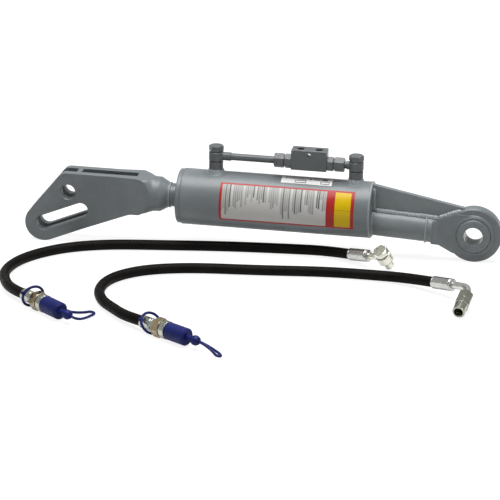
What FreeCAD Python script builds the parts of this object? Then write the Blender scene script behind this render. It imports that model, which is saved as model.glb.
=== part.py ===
"""Hydraulic lift arm of a tractor, with its valve block, pipes and two loose hoses.

The arm is drawn along its own X axis, with the pin hole of the fork at X = 0 and the
tube's centre line at Z = 0. It then leans by a small angle, so that the fork's lobe and
the ball eye both stand on the ground. The hoses lie on the ground in the final frame.
"""
import FreeCAD, Part
import math
import os
import Sketcher
from FreeCAD import Placement, Rotation, Vector

SIZES = {
    # fork
    "fork_thickness": 44.0,
    "fork_block_thickness": 58.0,
    "fork_gap": 18.0,
    "fork_gap_end": 118.0,
    "fork_half_height": 31.5,
    "fork_end": 134.0,
    "fork_corner_radius": 15.0,
    "fork_throat_radius": 30.0,
    "fork_shoulder_radius": 12.0,
    "fork_flare_start": 66.7,
    "fork_flare_tilt": 59.7,
    "fork_web_start": 13.0,
    "fork_web_width": 8.0,
    "fork_web_depth": 12.0,
    "fork_neck_radius": 29.5,
    "fork_neck_end": 158.0,
    "fork_nose_radius": 21.5,
    "fork_nose_end": 175.0,
    "pin_hole_radius": 12.75,
    "pin_hole_drop": 2.0,
    "hole_chamfer": 1.5,
    "slot_radius": 12.5,
    "slot_centres": 70.4,
    "slot_tilt": 22.5,
    "lobe_back": 43.0,
    "lobe_drop": 60.0,
    "lobe_radius": 32.0,
    "lobe_edge_tilt": 51.0,
    # rod and piston
    "rod_radius": 20.0,
    "rod_tail_radius": 15.0,
    "rod_tail_length": 38.0,
    "piston_seat": 448.0,
    "piston_length": 30.0,
    "piston_thread_radius": 12.0,
    "piston_nut_flats": 36.0,
    "piston_nut_length": 18.0,
    "piston_seal_width": 9.0,
    "piston_band_width": 8.0,
    "piston_groove_depth": 6.0,
    "running_gap": 0.05,
    # tube, gland and end cap
    "tube_start": 198.3,
    "tube_end": 517.5,
    "tube_radius": 47.5,
    "tube_wall": 7.5,
    "gland_face": 190.0,
    "gland_rim_step": 1.3,
    "gland_end": 238.0,
    "seal_radius": 25.5,
    "wiper_width": 6.0,
    "rod_seal_width": 8.0,
    "o_ring_radius": 1.8,
    "cap_start": 503.0,
    "cap_rim_step": 2.5,
    "cap_rim_width": 3.5,
    "end_bead_radius": 2.6,
    # rear bar, gusset and ball eye
    "eye_distance": 692.0,
    "eye_drop": 28.5,
    "eye_radius": 47.0,
    "eye_half_width": 10.5,
    "collar_radius": 34.0,
    "collar_half_width": 14.5,
    "shank_half_height": 23.0,
    "shank_half_width": 13.0,
    "shank_start": 70.0,
    "shank_flare_start": 57.0,
    "bar_radius": 23.0,
    "bar_tilt": 2.75,
    "ball_radius": 32.0,
    "ball_gap": 0.3,
    "ball_half_width": 18.5,
    "ball_bore_radius": 16.0,
    "gusset_thickness": 9.5,
    "gusset_step": 0.5,
    "gusset_tip": 678.0,
    "gusset_tip_height": 15.5,
    "weld_radius": 4.5,
    # ports and banjo fittings
    "front_port": 252.0,
    "rear_port": 490.0,
    "port_radius": 5.0,
    "boss_radius": 12.0,
    "boss_height": 19.0,
    "boss_weld_radius": 17.0,
    "boss_weld_height": 6.0,
    "washer_thickness": 1.5,
    "washer_radius": 11.0,
    "banjo_radius": 12.5,
    "banjo_height": 15.0,
    "banjo_bolt_radius": 7.0,
    "banjo_thread_length": 15.0,
    "bolt_head_flats": 22.0,
    "bolt_head_height": 9.5,
    "stem_radius": 7.2,
    "stem_length": 26.0,
    "short_stem_length": 16.0,
    "pipe_radius": 6.0,
    "pipe_wall": 1.5,
    # valve block and its fittings
    "block_start": 381.0,
    "block_length": 60.0,
    "block_clearance": 16.5,
    "block_height": 35.0,
    "block_depth": 24.0,
    "block_port_radius": 9.0,
    "block_port_depth": 12.0,
    "block_bore_radius": 6.0,
    "service_port_radius": 5.9,
    "front_service_port": 396.0,
    "rear_service_port": 427.0,
    "service_port_depth": 13.5,
    "service_spot_radius": 8.0,
    "service_spot_depth": 0.6,
    "block_hole": 411.0,
    "block_hole_rise": 27.0,
    "block_hole_radius": 3.5,
    "block_recess_radius": 7.0,
    "block_recess_depth": 14.0,
    "poppet_length": 16.0,
    "poppet_offset": 18.0,
    "fitting_flats": 22.0,
    "fitting_hex_length": 11.0,
    "fitting_thread_radius": 8.5,
    "fitting_thread_length": 13.0,
    "pipe_nut_flats": 22.0,
    "pipe_nut_length": 17.0,
    "pipe_nut_gap": 1.5,
    # stickers on the tube
    "sticker_thickness": 0.25,
    "sticker_gap": 0.1,
    "main_sticker_start": 267.0,
    "main_sticker_length": 223.0,
    "main_sticker_from": -28.0,
    "main_sticker_to": 54.0,
    "small_sticker_start": 366.0,
    "small_sticker_length": 86.0,
    "small_sticker_from": 71.0,
    "small_sticker_to": 95.0,
    # hoses, their fittings and the dust caps
    "hose_radius": 8.7,
    "strap_radius": 2.2,
    "ferrule_radius": 10.5,
    "ferrule_length": 39.0,
    "nipple_radius": 5.2,
    "hose_banjo_radius": 13.0,
    "hose_banjo_height": 15.0,
    "hose_banjo_tilt": 55.0,
    "hose_bolt_radius": 8.0,
    "hose_bolt_thread": 14.0,
    "hose_thread_radius": 7.8,
    "hose_thread_relief": 1.0,
    "elbow_radius": 6.2,
    "elbow_bore_radius": 3.5,
    "elbow_bend_radius": 22.0,
    "elbow_nut_start": 22.0,
    "elbow_nut_length": 20.0,
    "adapter_length": 30.0,
    "adapter_radius": 10.4,
    "adapter_bore_radius": 7.5,
    "coupler_ferrule_length": 24.0,
    "coupler_neck_radius": 10.0,
    "coupler_hex_start": 36.0,
    "coupler_hex_length": 14.0,
    "coupler_hex_flats": 28.0,
    "coupler_collar_gap": 3.0,
    "coupler_collar_length": 10.0,
    "coupler_collar_radius": 14.6,
    "coupler_nose_radius": 11.8,
    "coupler_nose_end": 98.0,
    "coupler_bore_radius": 5.5,
    "dust_cap_start": 63.5,
    "dust_cap_end": 105.0,
    "dust_cap_radius": 14.0,
    "dust_cap_gap": 0.3,
    "dust_nub_radius": 5.0,
    "dust_knob_radius": 8.0,
    "dust_nub_end": 130.0,
    "strap_ring_radius_a": 17.7,
    "strap_ring_radius_b": 17.5,
}

doc = FreeCAD.newDocument("LiftArm")
sheet = doc.addObject("Spreadsheet::Sheet", "Sizes")
for row, (alias, value) in enumerate(SIZES.items(), start=1):
    sheet.set(f"A{row}", alias.replace("_", " "))
    sheet.set(f"B{row}", str(value))
    sheet.setAlias(f"B{row}", alias)
doc.recompute()

# Sizes that follow the tube's outside, as sheet expressions
TUBE_BORE = "(Sizes.tube_radius - Sizes.tube_wall)"
PISTON_FLOOR = "(Sizes.tube_radius - Sizes.tube_wall - Sizes.piston_groove_depth)"
GLAND_RIM = "(Sizes.tube_radius - Sizes.gland_rim_step)"
CAP_RIM = "(Sizes.tube_radius - Sizes.cap_rim_step)"
BOSS_TOP = "(Sizes.tube_radius + Sizes.boss_height)"
BOSS_WELD_TOP = "(Sizes.tube_radius + Sizes.boss_weld_height)"
BLOCK_BOTTOM = "(Sizes.tube_radius + Sizes.block_clearance)"

X_AXIS = Vector(1, 0, 0)
Y_AXIS = Vector(0, 1, 0)
Z_AXIS = Vector(0, 0, 1)
FAR = 400.0

arm_parts = []
hose_parts = []


def size(alias):
    """Read one size from the sheet, in millimetres or degrees."""
    return float(getattr(sheet, alias))


def above_tube(alias):
    """Height above the arm's centre line of something that rests on the tube's outside."""
    return size("tube_radius") + size(alias)


def plane_of(body, role):
    """Find one origin plane of a body by its role."""
    return next(item for item in body.Origin.OriginFeatures if item.Role == role)


def add_sketch(body, name, role):
    """Start a sketch on one of the body's own origin planes."""
    sketch = body.newObject("Sketcher::SketchObject", name)
    sketch.AttachmentSupport = [(plane_of(body, role), "")]
    sketch.MapMode = "FlatFace"
    return sketch


def pin_point(sketch, edge, end, across, up):
    """Hold a point at two sheet expressions, measured from the sketch's origin."""
    for kind, expression, axis in (("DistanceX", across, -2), ("DistanceY", up, -1)):
        if expression == "0":
            sketch.addConstraint(Sketcher.Constraint("PointOnObject", edge, end, axis))
        else:
            index = sketch.addConstraint(Sketcher.Constraint(kind, -1, 1, edge, end, 1.0))
            sketch.setExpression(f"Constraints[{index}]", expression)


def draw_polygon(sketch, corners):
    """Draw a closed polygon whose corners are pairs of sheet expressions."""
    first = sketch.GeometryCount
    count = len(corners)
    for step in range(count):
        start = Vector(step + 1, step * step % 5 + 1, 0)
        stop = Vector(step + 2, (step + 1) ** 2 % 5 + 1, 0)
        sketch.addGeometry(Part.LineSegment(start, stop), False)
    for step in range(count):
        following = first + (step + 1) % count
        sketch.addConstraint(Sketcher.Constraint("Coincident", first + step, 2, following, 1))
    for step, (across, up) in enumerate(corners):
        pin_point(sketch, first + step, 1, across, up)


def draw_circle(sketch, across, up, radius):
    """Draw a circle whose centre and radius are sheet expressions."""
    edge = sketch.addGeometry(Part.Circle(Vector(1, 1, 0), Z_AXIS, 1.0), False)
    pin_point(sketch, edge, 3, across, up)
    index = sketch.addConstraint(Sketcher.Constraint("Radius", edge, 1.0))
    sketch.setExpression(f"Constraints[{index}]", radius)


def turned(name, corners):
    """Make a body turned about its own X axis from (station, radius) expressions."""
    body = doc.addObject("PartDesign::Body", name)
    sketch = add_sketch(body, name + "_profile", "XY_Plane")
    draw_polygon(sketch, corners)
    turn = body.newObject("PartDesign::Revolution", name + "_turn")
    turn.Profile = sketch
    turn.ReferenceAxis = (sketch, ["H_Axis"])
    turn.Angle = 360.0
    return body


def padded_outline(name, corners, thickness):
    """Make a body padded evenly to both sides of its own XZ plane."""
    body = doc.addObject("PartDesign::Body", name)
    sketch = add_sketch(body, name + "_outline", "XZ_Plane")
    draw_polygon(sketch, corners)
    pad = body.newObject("PartDesign::Pad", name + "_pad")
    pad.Profile = sketch
    pad.SideType = "Symmetric"
    pad.setExpression("Length", thickness)
    return body


def cylinder(name, radius, length, place=Placement()):
    """Make a cylinder along its own Z axis, sized by sheet expressions."""
    item = doc.addObject("Part::Cylinder", name)
    item.setExpression("Radius", radius)
    item.setExpression("Height", length)
    item.Placement = place
    return item


def cut(name, base, *tools):
    """Take the tools away from the base."""
    item = doc.addObject("Part::Cut", name)
    item.Base = base
    if len(tools) == 1:
        item.Tool = tools[0]
    else:
        item.Tool = fuse(name + "_tools", *tools)
    return item


def fuse(name, *pieces):
    """Join pieces into one solid."""
    item = doc.addObject("Part::MultiFuse", name)
    item.Shapes = list(pieces)
    return item


def common(name, *pieces):
    """Keep what the pieces share."""
    item = doc.addObject("Part::MultiCommon", name)
    item.Shapes = list(pieces)
    return item


def group(name, *pieces):
    """Keep several separate solids as one sub-part."""
    item = doc.addObject("Part::Compound", name)
    item.Links = list(pieces)
    return item


def feature(name, shape):
    """Hold a shape that is worked out in code."""
    item = doc.addObject("Part::Feature", name)
    item.Shape = shape
    return item


def placed_x(position, axis):
    """Place something so that its own X axis points along the given axis."""
    return Placement(position, Rotation(X_AXIS, axis))


def placed_z(position, axis):
    """Place something so that its own Z axis points along the given axis."""
    return Placement(position, Rotation(Z_AXIS, axis))


def upright(x, z):
    """Place a turned piece with its axis pointing up, at the arm's middle plane."""
    return placed_x(Vector(x, 0, z), Z_AXIS)


def hexagon(name, flats, length, bore=None, chamfer=1.2):
    """Make a hexagon along its own X axis with turned ends and an optional bore."""
    prism = doc.addObject("Part::Prism", name + "_prism")
    prism.Polygon = 6
    prism.setExpression("Circumradius", f"({flats}) / sqrt(3)")
    prism.setExpression("Height", length)
    prism.Placement = placed_z(Vector(0, 0, 0), X_AXIS)
    corner = f"({flats}) / sqrt(3) + 0.5"
    land = f"({flats}) / 2 * 0.97"
    ends = turned(name + "_ends", [
        ("0", "0"),
        ("0", land),
        (str(chamfer), corner),
        (f"{length} - {chamfer}", corner),
        (length, land),
        (length, "0"),
    ])
    shaped = common(name + "_shaped", prism, ends)
    if bore is None:
        return shaped
    hole = cylinder(name + "_hole", bore, f"{length} + 2", placed_z(Vector(-1, 0, 0), X_AXIS))
    return cut(name + "_bored", shaped, hole)


def finish(item, label, parts, place=None):
    """Name a sub-part, place it and list it."""
    item.Label = label
    if place is not None:
        item.Placement = place
    parts.append(item)
    return item


def bend_route(points):
    """Join straight runs with tangent arcs; returns the wire and its tightest radius."""
    corners = [Vector(*point) for point in points]
    edges = []
    start = corners[0]
    tightest = math.inf
    for before, corner, after in zip(corners, corners[1:], corners[2:]):
        arriving = corner - before
        leaving = after - corner
        reach = 0.45 * min(arriving.Length, leaving.Length)
        half_turn = arriving.getAngle(leaving) / 2
        radius = reach / math.tan(half_turn)
        tightest = min(tightest, radius)
        entry = corner - arriving.normalize() * reach
        leave = corner + leaving.normalize() * reach
        inward = (entry + leave) * 0.5 - corner
        centre = corner + inward.normalize() * (radius / math.cos(half_turn))
        middle = centre + (corner - centre).normalize() * radius
        edges.append(Part.LineSegment(start, entry).toShape())
        edges.append(Part.Arc(entry, middle, leave).toShape())
        start = leave
    edges.append(Part.LineSegment(start, corners[-1]).toShape())
    return Part.Wire(edges), tightest


def cord(name, points, radius):
    """Make a round cord along a route and print its length, bend and volume."""
    wire, tightest = bend_route(points)
    direction = Vector(*points[1]) - Vector(*points[0])
    section = Part.Wire(Part.makeCircle(radius, Vector(*points[0]), direction))
    tube = wire.makePipeShell([section], True, False)
    expected = math.pi * radius ** 2 * wire.Length
    print(f"{name}: length {wire.Length:.0f} mm, tightest bend {tightest:.0f} mm, "
          f"volume ratio {tube.Volume / expected:.4f}")
    return finish(feature(name, tube), name, hose_parts)


# Fork: plates with a gap, a pin hole, a slanted float slot and a round neck
lobe_x = "-Sizes.lobe_back"
lobe_z = "-Sizes.lobe_drop"
wedge = "(Sizes.lobe_edge_tilt - Sizes.slot_tilt) / 2"
middle_tilt = "(Sizes.lobe_edge_tilt + Sizes.slot_tilt) / 2"
tip_reach = f"Sizes.lobe_radius / sin({wedge})"
upper_x = f"({lobe_x} - Sizes.lobe_radius * sin(Sizes.lobe_edge_tilt))"
upper_z = f"({lobe_z} + Sizes.lobe_radius * cos(Sizes.lobe_edge_tilt))"
lower_x = f"({lobe_x} + Sizes.lobe_radius * sin(Sizes.slot_tilt))"
lower_z = f"({lobe_z} - Sizes.lobe_radius * cos(Sizes.slot_tilt))"
fork = padded_outline("fork_body", [
    (f"{lobe_x} - {tip_reach} * cos({middle_tilt})", f"{lobe_z} - {tip_reach} * sin({middle_tilt})"),
    (f"{lower_x} + (-Sizes.fork_half_height - {lower_z}) / tan(Sizes.slot_tilt)",
     "-Sizes.fork_half_height"),
    ("Sizes.fork_end", "-Sizes.fork_half_height"),
    ("Sizes.fork_end", "Sizes.fork_half_height"),
    (f"{upper_x} + (Sizes.fork_half_height - {upper_z}) / tan(Sizes.lobe_edge_tilt)",
     "Sizes.fork_half_height"),
], "Sizes.fork_block_thickness")
doc.recompute()


def edges_across(shape, test):
    """Name the edges that run along Y and whose middle passes the test."""
    names = []
    for number, edge in enumerate(shape.Edges, start=1):
        ends = [vertex.Point for vertex in edge.Vertexes]
        if len(ends) == 2 and abs((ends[1] - ends[0]).normalize().y) > 0.999:
            if test((ends[0] + ends[1]) * 0.5):
                names.append(f"Edge{number}")
    return names


def round_edges(body, name, test, radius):
    """Fillet the edges along Y that pass the test."""
    base = body.Tip
    fillet = body.newObject("PartDesign::Fillet", name)
    fillet.Base = (base, edges_across(base.Shape, test))
    fillet.setExpression("Radius", radius)
    doc.recompute()


fork_height = size("fork_half_height")
round_edges(fork, "fork_lobe", lambda point: point.z < -fork_height - 40, "Sizes.lobe_radius")
round_edges(fork, "fork_corner", lambda point: point.x < 40 and point.z > fork_height - 1,
            "Sizes.fork_corner_radius")
round_edges(fork, "fork_throat",
            lambda point: 40 < point.x < size("fork_end") - 1 and abs(point.z + fork_height) < 1,
            "Sizes.fork_throat_radius")
round_edges(fork, "fork_shoulder", lambda point: point.x > size("fork_end") - 1,
            "Sizes.fork_shoulder_radius")

flare_profile = add_sketch(fork, "fork_flare_profile", "XY_Plane")
for sign in ("", "-"):
    draw_polygon(flare_profile, [
        (str(-FAR), f"{sign}(Sizes.fork_thickness / 2)"),
        ("Sizes.fork_flare_start", f"{sign}(Sizes.fork_thickness / 2)"),
        ("Sizes.fork_end", f"{sign}(Sizes.fork_block_thickness / 2)"),
        ("Sizes.fork_end", f"{sign}(Sizes.fork_block_thickness / 2 + 20)"),
        (str(-FAR), f"{sign}(Sizes.fork_block_thickness / 2 + 20)"),
    ])
flare = fork.newObject("PartDesign::Pocket", "fork_flare")
flare.Profile = flare_profile
flare.SideType = "Symmetric"
flare.UseCustomVector = True
flare_lean = math.radians(size("fork_flare_tilt"))
flare.Direction = Vector(math.cos(flare_lean), 0, math.sin(flare_lean))
flare.AlongSketchNormal = False
flare.Length = 2 * FAR
doc.recompute()

gap_profile = add_sketch(fork, "fork_gap_profile", "XY_Plane")
draw_polygon(gap_profile, [
    (str(-FAR), "-Sizes.fork_gap / 2"),
    ("Sizes.fork_gap_end", "-Sizes.fork_gap / 2"),
    ("Sizes.fork_gap_end", "Sizes.fork_gap / 2"),
    (str(-FAR), "Sizes.fork_gap / 2"),
])
gap = fork.newObject("PartDesign::Pocket", "fork_gap_cut")
gap.Profile = gap_profile
gap.SideType = "Symmetric"
gap.Length = 2 * FAR
doc.recompute()

web_profile = add_sketch(fork, "fork_web_profile", "XZ_Plane")
draw_polygon(web_profile, [
    ("Sizes.fork_web_start", "Sizes.fork_half_height - Sizes.fork_web_depth"),
    ("Sizes.fork_web_start + Sizes.fork_web_width", "Sizes.fork_half_height - Sizes.fork_web_depth"),
    ("Sizes.fork_web_start + Sizes.fork_web_width", "Sizes.fork_half_height"),
    ("Sizes.fork_web_start", "Sizes.fork_half_height"),
])
web = fork.newObject("PartDesign::Pad", "fork_web")
web.Profile = web_profile
web.SideType = "Symmetric"
web.setExpression("Length", "Sizes.fork_gap + 2")
doc.recompute()

slot_end_x = "(-Sizes.lobe_back + Sizes.slot_centres * cos(Sizes.slot_tilt))"
slot_end_z = "(-Sizes.lobe_drop + Sizes.slot_centres * sin(Sizes.slot_tilt))"
slot_rise_x = "Sizes.slot_radius * sin(Sizes.slot_tilt)"
slot_rise_z = "Sizes.slot_radius * cos(Sizes.slot_tilt)"


def bore_fork(name, draw):
    """Cut a drawn outline through both plates of the fork."""
    profile = add_sketch(fork, name + "_profile", "XZ_Plane")
    draw(profile)
    pocket = fork.newObject("PartDesign::Pocket", name)
    pocket.Profile = profile
    pocket.SideType = "Symmetric"
    pocket.Length = 2 * FAR
    doc.recompute()


bore_fork("fork_pin_hole", lambda profile: draw_circle(
    profile, "0", "-Sizes.pin_hole_drop", "Sizes.pin_hole_radius"))
bore_fork("fork_slot_start", lambda profile: draw_circle(
    profile, "-Sizes.lobe_back", "-Sizes.lobe_drop", "Sizes.slot_radius"))
bore_fork("fork_slot_end", lambda profile: draw_circle(
    profile, slot_end_x, slot_end_z, "Sizes.slot_radius"))
bore_fork("fork_slot_middle", lambda profile: draw_polygon(profile, [
    (f"-Sizes.lobe_back - {slot_rise_x}", f"-Sizes.lobe_drop + {slot_rise_z}"),
    (f"-Sizes.lobe_back + {slot_rise_x}", f"-Sizes.lobe_drop - {slot_rise_z}"),
    (f"{slot_end_x} + {slot_rise_x}", f"{slot_end_z} - {slot_rise_z}"),
    (f"{slot_end_x} - {slot_rise_x}", f"{slot_end_z} + {slot_rise_z}"),
]))

neck_profile = add_sketch(fork, "fork_neck_profile", "XY_Plane")
draw_polygon(neck_profile, [
    ("Sizes.fork_gap_end + 8", "0"),
    ("Sizes.fork_gap_end + 8", "Sizes.fork_gap / 2"),
    ("Sizes.fork_end - 2", "Sizes.fork_neck_radius"),
    ("Sizes.fork_neck_end", "Sizes.fork_neck_radius"),
    ("Sizes.fork_nose_end - 3", "Sizes.fork_nose_radius"),
    ("Sizes.fork_nose_end", "Sizes.fork_nose_radius"),
    ("Sizes.fork_nose_end", "0"),
])
neck = fork.newObject("PartDesign::Revolution", "fork_neck")
neck.Profile = neck_profile
neck.ReferenceAxis = (neck_profile, ["H_Axis"])
neck.Angle = 360.0
doc.recompute()
outer_face = size("fork_thickness") / 2
rims = []
for number, edge in enumerate(fork.Tip.Shape.Edges, start=1):
    box = edge.BoundBox
    flat = box.YLength < 0.01 and abs(abs(box.Center.y) - outer_face) < 0.01
    inside = box.ZMin > -size("lobe_drop") - 20 and box.ZMax < 15
    near = box.XMin > -size("lobe_back") - 18 and box.XMax < 50
    if flat and inside and near and box.DiagonalLength > 2:
        rims.append(f"Edge{number}")
bored_fork = fork.Tip
rim_chamfer = fork.newObject("PartDesign::Chamfer", "fork_rim_chamfer")
rim_chamfer.Base = (bored_fork, rims)
rim_chamfer.setExpression("Size", "Sizes.hole_chamfer")
doc.recompute()
rod_socket = cylinder("fork_rod_socket", "Sizes.rod_tail_radius", "Sizes.rod_tail_length + 1",
                      placed_z(Vector(size("fork_nose_end") - size("rod_tail_length"), 0, 0), X_AXIS))
finish(cut("fork_with_socket", fork, rod_socket), "fork", arm_parts)

# Rod, piston and its seals
rod = turned("rod_turned", [
    ("Sizes.fork_nose_end - Sizes.rod_tail_length", "0"),
    ("Sizes.fork_nose_end - Sizes.rod_tail_length", "Sizes.rod_tail_radius"),
    ("Sizes.fork_nose_end", "Sizes.rod_tail_radius"),
    ("Sizes.fork_nose_end", "Sizes.rod_radius"),
    ("Sizes.piston_seat", "Sizes.rod_radius"),
    ("Sizes.piston_seat", "Sizes.piston_thread_radius"),
    ("Sizes.piston_seat + Sizes.piston_length + Sizes.piston_nut_length",
     "Sizes.piston_thread_radius"),
    ("Sizes.piston_seat + Sizes.piston_length + Sizes.piston_nut_length", "0"),
])
finish(rod, "piston_rod", arm_parts)

seal_start = "Sizes.piston_seat + 4"
seal_stop = f"({seal_start} + Sizes.piston_seal_width)"
band_start = f"({seal_stop} + 4)"
band_stop = f"({band_start} + Sizes.piston_band_width)"
piston_rim = f"({TUBE_BORE} - Sizes.running_gap)"
groove = PISTON_FLOOR
piston = turned("piston_turned", [
    ("Sizes.piston_seat", "Sizes.piston_thread_radius"),
    ("Sizes.piston_seat", piston_rim),
    (seal_start, piston_rim),
    (seal_start, groove),
    (seal_stop, groove),
    (seal_stop, piston_rim),
    (band_start, piston_rim),
    (band_start, groove),
    (band_stop, groove),
    (band_stop, piston_rim),
    ("Sizes.piston_seat + Sizes.piston_length", piston_rim),
    ("Sizes.piston_seat + Sizes.piston_length", "Sizes.piston_thread_radius"),
])
finish(piston, "piston", arm_parts)


def ring(name, start, stop, inner, outer):
    """Make a plain ring between two stations on the tube's centre line."""
    return turned(name, [(start, inner), (start, outer), (stop, outer), (stop, inner)])


seat = f"({groove} + Sizes.running_gap)"
side_gap = "Sizes.running_gap"
for label, start, stop in (("piston_seal", seal_start, seal_stop),
                           ("piston_guide_band", band_start, band_stop)):
    piece = ring(label + "_ring", f"{start} + {side_gap}", f"{stop} - {side_gap}", seat, piston_rim)
    finish(piece, label, arm_parts)

piston_nut = hexagon("piston_nut_hex", "Sizes.piston_nut_flats", "Sizes.piston_nut_length",
                     "Sizes.piston_thread_radius")
finish(piston_nut, "piston_nut", arm_parts,
       Placement(Vector(size("piston_seat") + size("piston_length"), 0, 0), Rotation()))

# Tube with its two oil ports
tube_blank = ring("tube_blank", "Sizes.tube_start", "Sizes.tube_end",
                  TUBE_BORE, "Sizes.tube_radius")
port_drills = []
for end, station in (("front", "front_port"), ("rear", "rear_port")):
    port_drills.append(cylinder(f"{end}_port_drill", "Sizes.port_radius", "Sizes.tube_radius + 20",
                                Placement(Vector(size(station), 0, 0), Rotation())))
tube = cut("tube_drilled", tube_blank, *port_drills)
finish(tube, "cylinder_tube", arm_parts)

# Gland with a wiper, a rod seal and an outer sealing ring
rod_way = "(Sizes.rod_radius + Sizes.running_gap)"
wiper_start = "Sizes.gland_face"
wiper_stop = "(Sizes.gland_face + Sizes.wiper_width)"
rod_seal_start = "(Sizes.gland_face + 20)"
rod_seal_stop = f"({rod_seal_start} + Sizes.rod_seal_width)"
o_ring_start = "(Sizes.gland_end - 14)"
o_ring_stop = f"({o_ring_start} + 2 * Sizes.o_ring_radius)"
o_ring_floor = f"({TUBE_BORE} - 2 * Sizes.o_ring_radius)"
gland = turned("gland_turned", [
    (wiper_start, "Sizes.seal_radius"),
    (wiper_start, f"{GLAND_RIM} - 1.2"),
    (f"{wiper_start} + 1.2", GLAND_RIM),
    ("Sizes.tube_start - 0.4", GLAND_RIM),
    ("Sizes.tube_start", f"{GLAND_RIM} - 1"),
    ("Sizes.tube_start", TUBE_BORE),
    (o_ring_start, TUBE_BORE),
    (o_ring_start, o_ring_floor),
    (o_ring_stop, o_ring_floor),
    (o_ring_stop, TUBE_BORE),
    ("Sizes.gland_end", TUBE_BORE),
    ("Sizes.gland_end", rod_way),
    (rod_seal_stop, rod_way),
    (rod_seal_stop, "Sizes.seal_radius"),
    (rod_seal_start, "Sizes.seal_radius"),
    (rod_seal_start, rod_way),
    (wiper_stop, rod_way),
    (wiper_stop, "Sizes.seal_radius"),
])
finish(gland, "gland", arm_parts)
wiper = turned("wiper_turned", [
    (wiper_start, rod_way),
    (f"{wiper_start} - 1.5", f"{rod_way} + 1.2"),
    (wiper_start, "Sizes.seal_radius"),
    (wiper_stop, "Sizes.seal_radius"),
    (wiper_stop, rod_way),
])
finish(wiper, "rod_wiper", arm_parts)
finish(ring("rod_seal_ring", rod_seal_start, rod_seal_stop, rod_way, "Sizes.seal_radius"),
       "rod_seal", arm_parts)
o_ring = doc.addObject("Part::Torus", "gland_o_ring_torus")
o_ring.setExpression("Radius1", f"{TUBE_BORE} - Sizes.o_ring_radius")
o_ring.setExpression("Radius2", "Sizes.o_ring_radius")
o_ring_middle = size("gland_end") - 14 + size("o_ring_radius")
finish(o_ring, "gland_o_ring", arm_parts, placed_z(Vector(o_ring_middle, 0, 0), X_AXIS))

# End cap, rear bar and ball eye
cap_face = size("tube_end") + size("cap_rim_width")
end_cap = turned("end_cap_turned", [
    ("Sizes.cap_start", "0"),
    ("Sizes.cap_start", TUBE_BORE),
    ("Sizes.tube_end", TUBE_BORE),
    ("Sizes.tube_end", CAP_RIM),
    ("Sizes.tube_end + Sizes.cap_rim_width - 0.8", CAP_RIM),
    ("Sizes.tube_end + Sizes.cap_rim_width", f"{CAP_RIM} - 0.8"),
    ("Sizes.tube_end + Sizes.cap_rim_width", "0"),
])
finish(end_cap, "end_cap", arm_parts)

tilt = math.radians(size("bar_tilt"))
eye_centre = Vector(size("eye_distance"), 0, -size("eye_drop"))
towards_tube = Vector(-math.cos(tilt), 0, math.sin(tilt))
eye_place = Placement(eye_centre, Rotation(Y_AXIS, size("bar_tilt")))


def half_space(name, start, stop):
    """Make a wide box between two stations along the arm."""
    box = doc.addObject("Part::Box", name)
    box.Length = stop - start
    box.Width = FAR
    box.Height = FAR
    box.Placement = Placement(Vector(start, -FAR / 2, -FAR / 2), Rotation())
    return box


bar_root = eye_centre + towards_tube * size("shank_start")
bar_blank = cylinder("bar_blank", "Sizes.bar_radius", "Sizes.eye_distance - Sizes.tube_end",
                     placed_z(bar_root, towards_tube))
bar = common("bar_shaped", bar_blank, half_space("behind_cap", cap_face, cap_face + FAR))
finish(bar, "rear_bar", arm_parts)

shank = padded_outline("shank", [
    ("-Sizes.shank_start", "-Sizes.shank_half_height"),
    ("-Sizes.shank_flare_start", "-Sizes.shank_half_height"),
    ("-Sizes.eye_radius * sin(43)", "-Sizes.eye_radius * cos(43)"),
    ("0", "-Sizes.collar_radius"),
    ("0", "Sizes.collar_radius"),
    ("-Sizes.eye_radius * sin(43)", "Sizes.eye_radius * cos(43)"),
    ("-Sizes.shank_flare_start", "Sizes.shank_half_height"),
    ("-Sizes.shank_start", "Sizes.shank_half_height"),
], "2 * Sizes.shank_half_width")
disc = turned("eye_disc", [
    ("-Sizes.collar_half_width", "0"),
    ("-Sizes.collar_half_width", "Sizes.collar_radius - 2"),
    ("-Sizes.collar_half_width + 1.5", "Sizes.collar_radius"),
    ("-Sizes.eye_half_width", "Sizes.collar_radius + 2"),
    ("-Sizes.eye_half_width", "Sizes.eye_radius - 2.5"),
    ("-Sizes.eye_half_width + 2.5", "Sizes.eye_radius"),
    ("Sizes.eye_half_width - 2.5", "Sizes.eye_radius"),
    ("Sizes.eye_half_width", "Sizes.eye_radius - 2.5"),
    ("Sizes.eye_half_width", "Sizes.collar_radius + 2"),
    ("Sizes.collar_half_width - 1.5", "Sizes.collar_radius"),
    ("Sizes.collar_half_width", "Sizes.collar_radius - 2"),
    ("Sizes.collar_half_width", "0"),
])
disc.Placement = placed_x(Vector(0, 0, 0), Y_AXIS)
socket = doc.addObject("Part::Sphere", "eye_socket")
socket.setExpression("Radius", "Sizes.ball_radius + Sizes.ball_gap")
eye = cut("eye_bored", fuse("eye_solid", shank, disc), socket)
finish(eye, "ball_eye", arm_parts, eye_place)

ball_sphere = doc.addObject("Part::Sphere", "ball_sphere")
ball_sphere.setExpression("Radius", "Sizes.ball_radius")
ball_core = turned("ball_core", [
    ("-Sizes.ball_half_width", "Sizes.ball_bore_radius + Sizes.hole_chamfer"),
    ("-Sizes.ball_half_width", "Sizes.ball_radius"),
    ("Sizes.ball_half_width", "Sizes.ball_radius"),
    ("Sizes.ball_half_width", "Sizes.ball_bore_radius + Sizes.hole_chamfer"),
    ("Sizes.ball_half_width - Sizes.hole_chamfer", "Sizes.ball_bore_radius"),
    ("-Sizes.ball_half_width + Sizes.hole_chamfer", "Sizes.ball_bore_radius"),
])
ball_core.Placement = placed_x(Vector(0, 0, 0), Y_AXIS)
finish(common("ball_shaped", ball_sphere, ball_core), "swivel_ball", arm_parts, eye_place)

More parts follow.
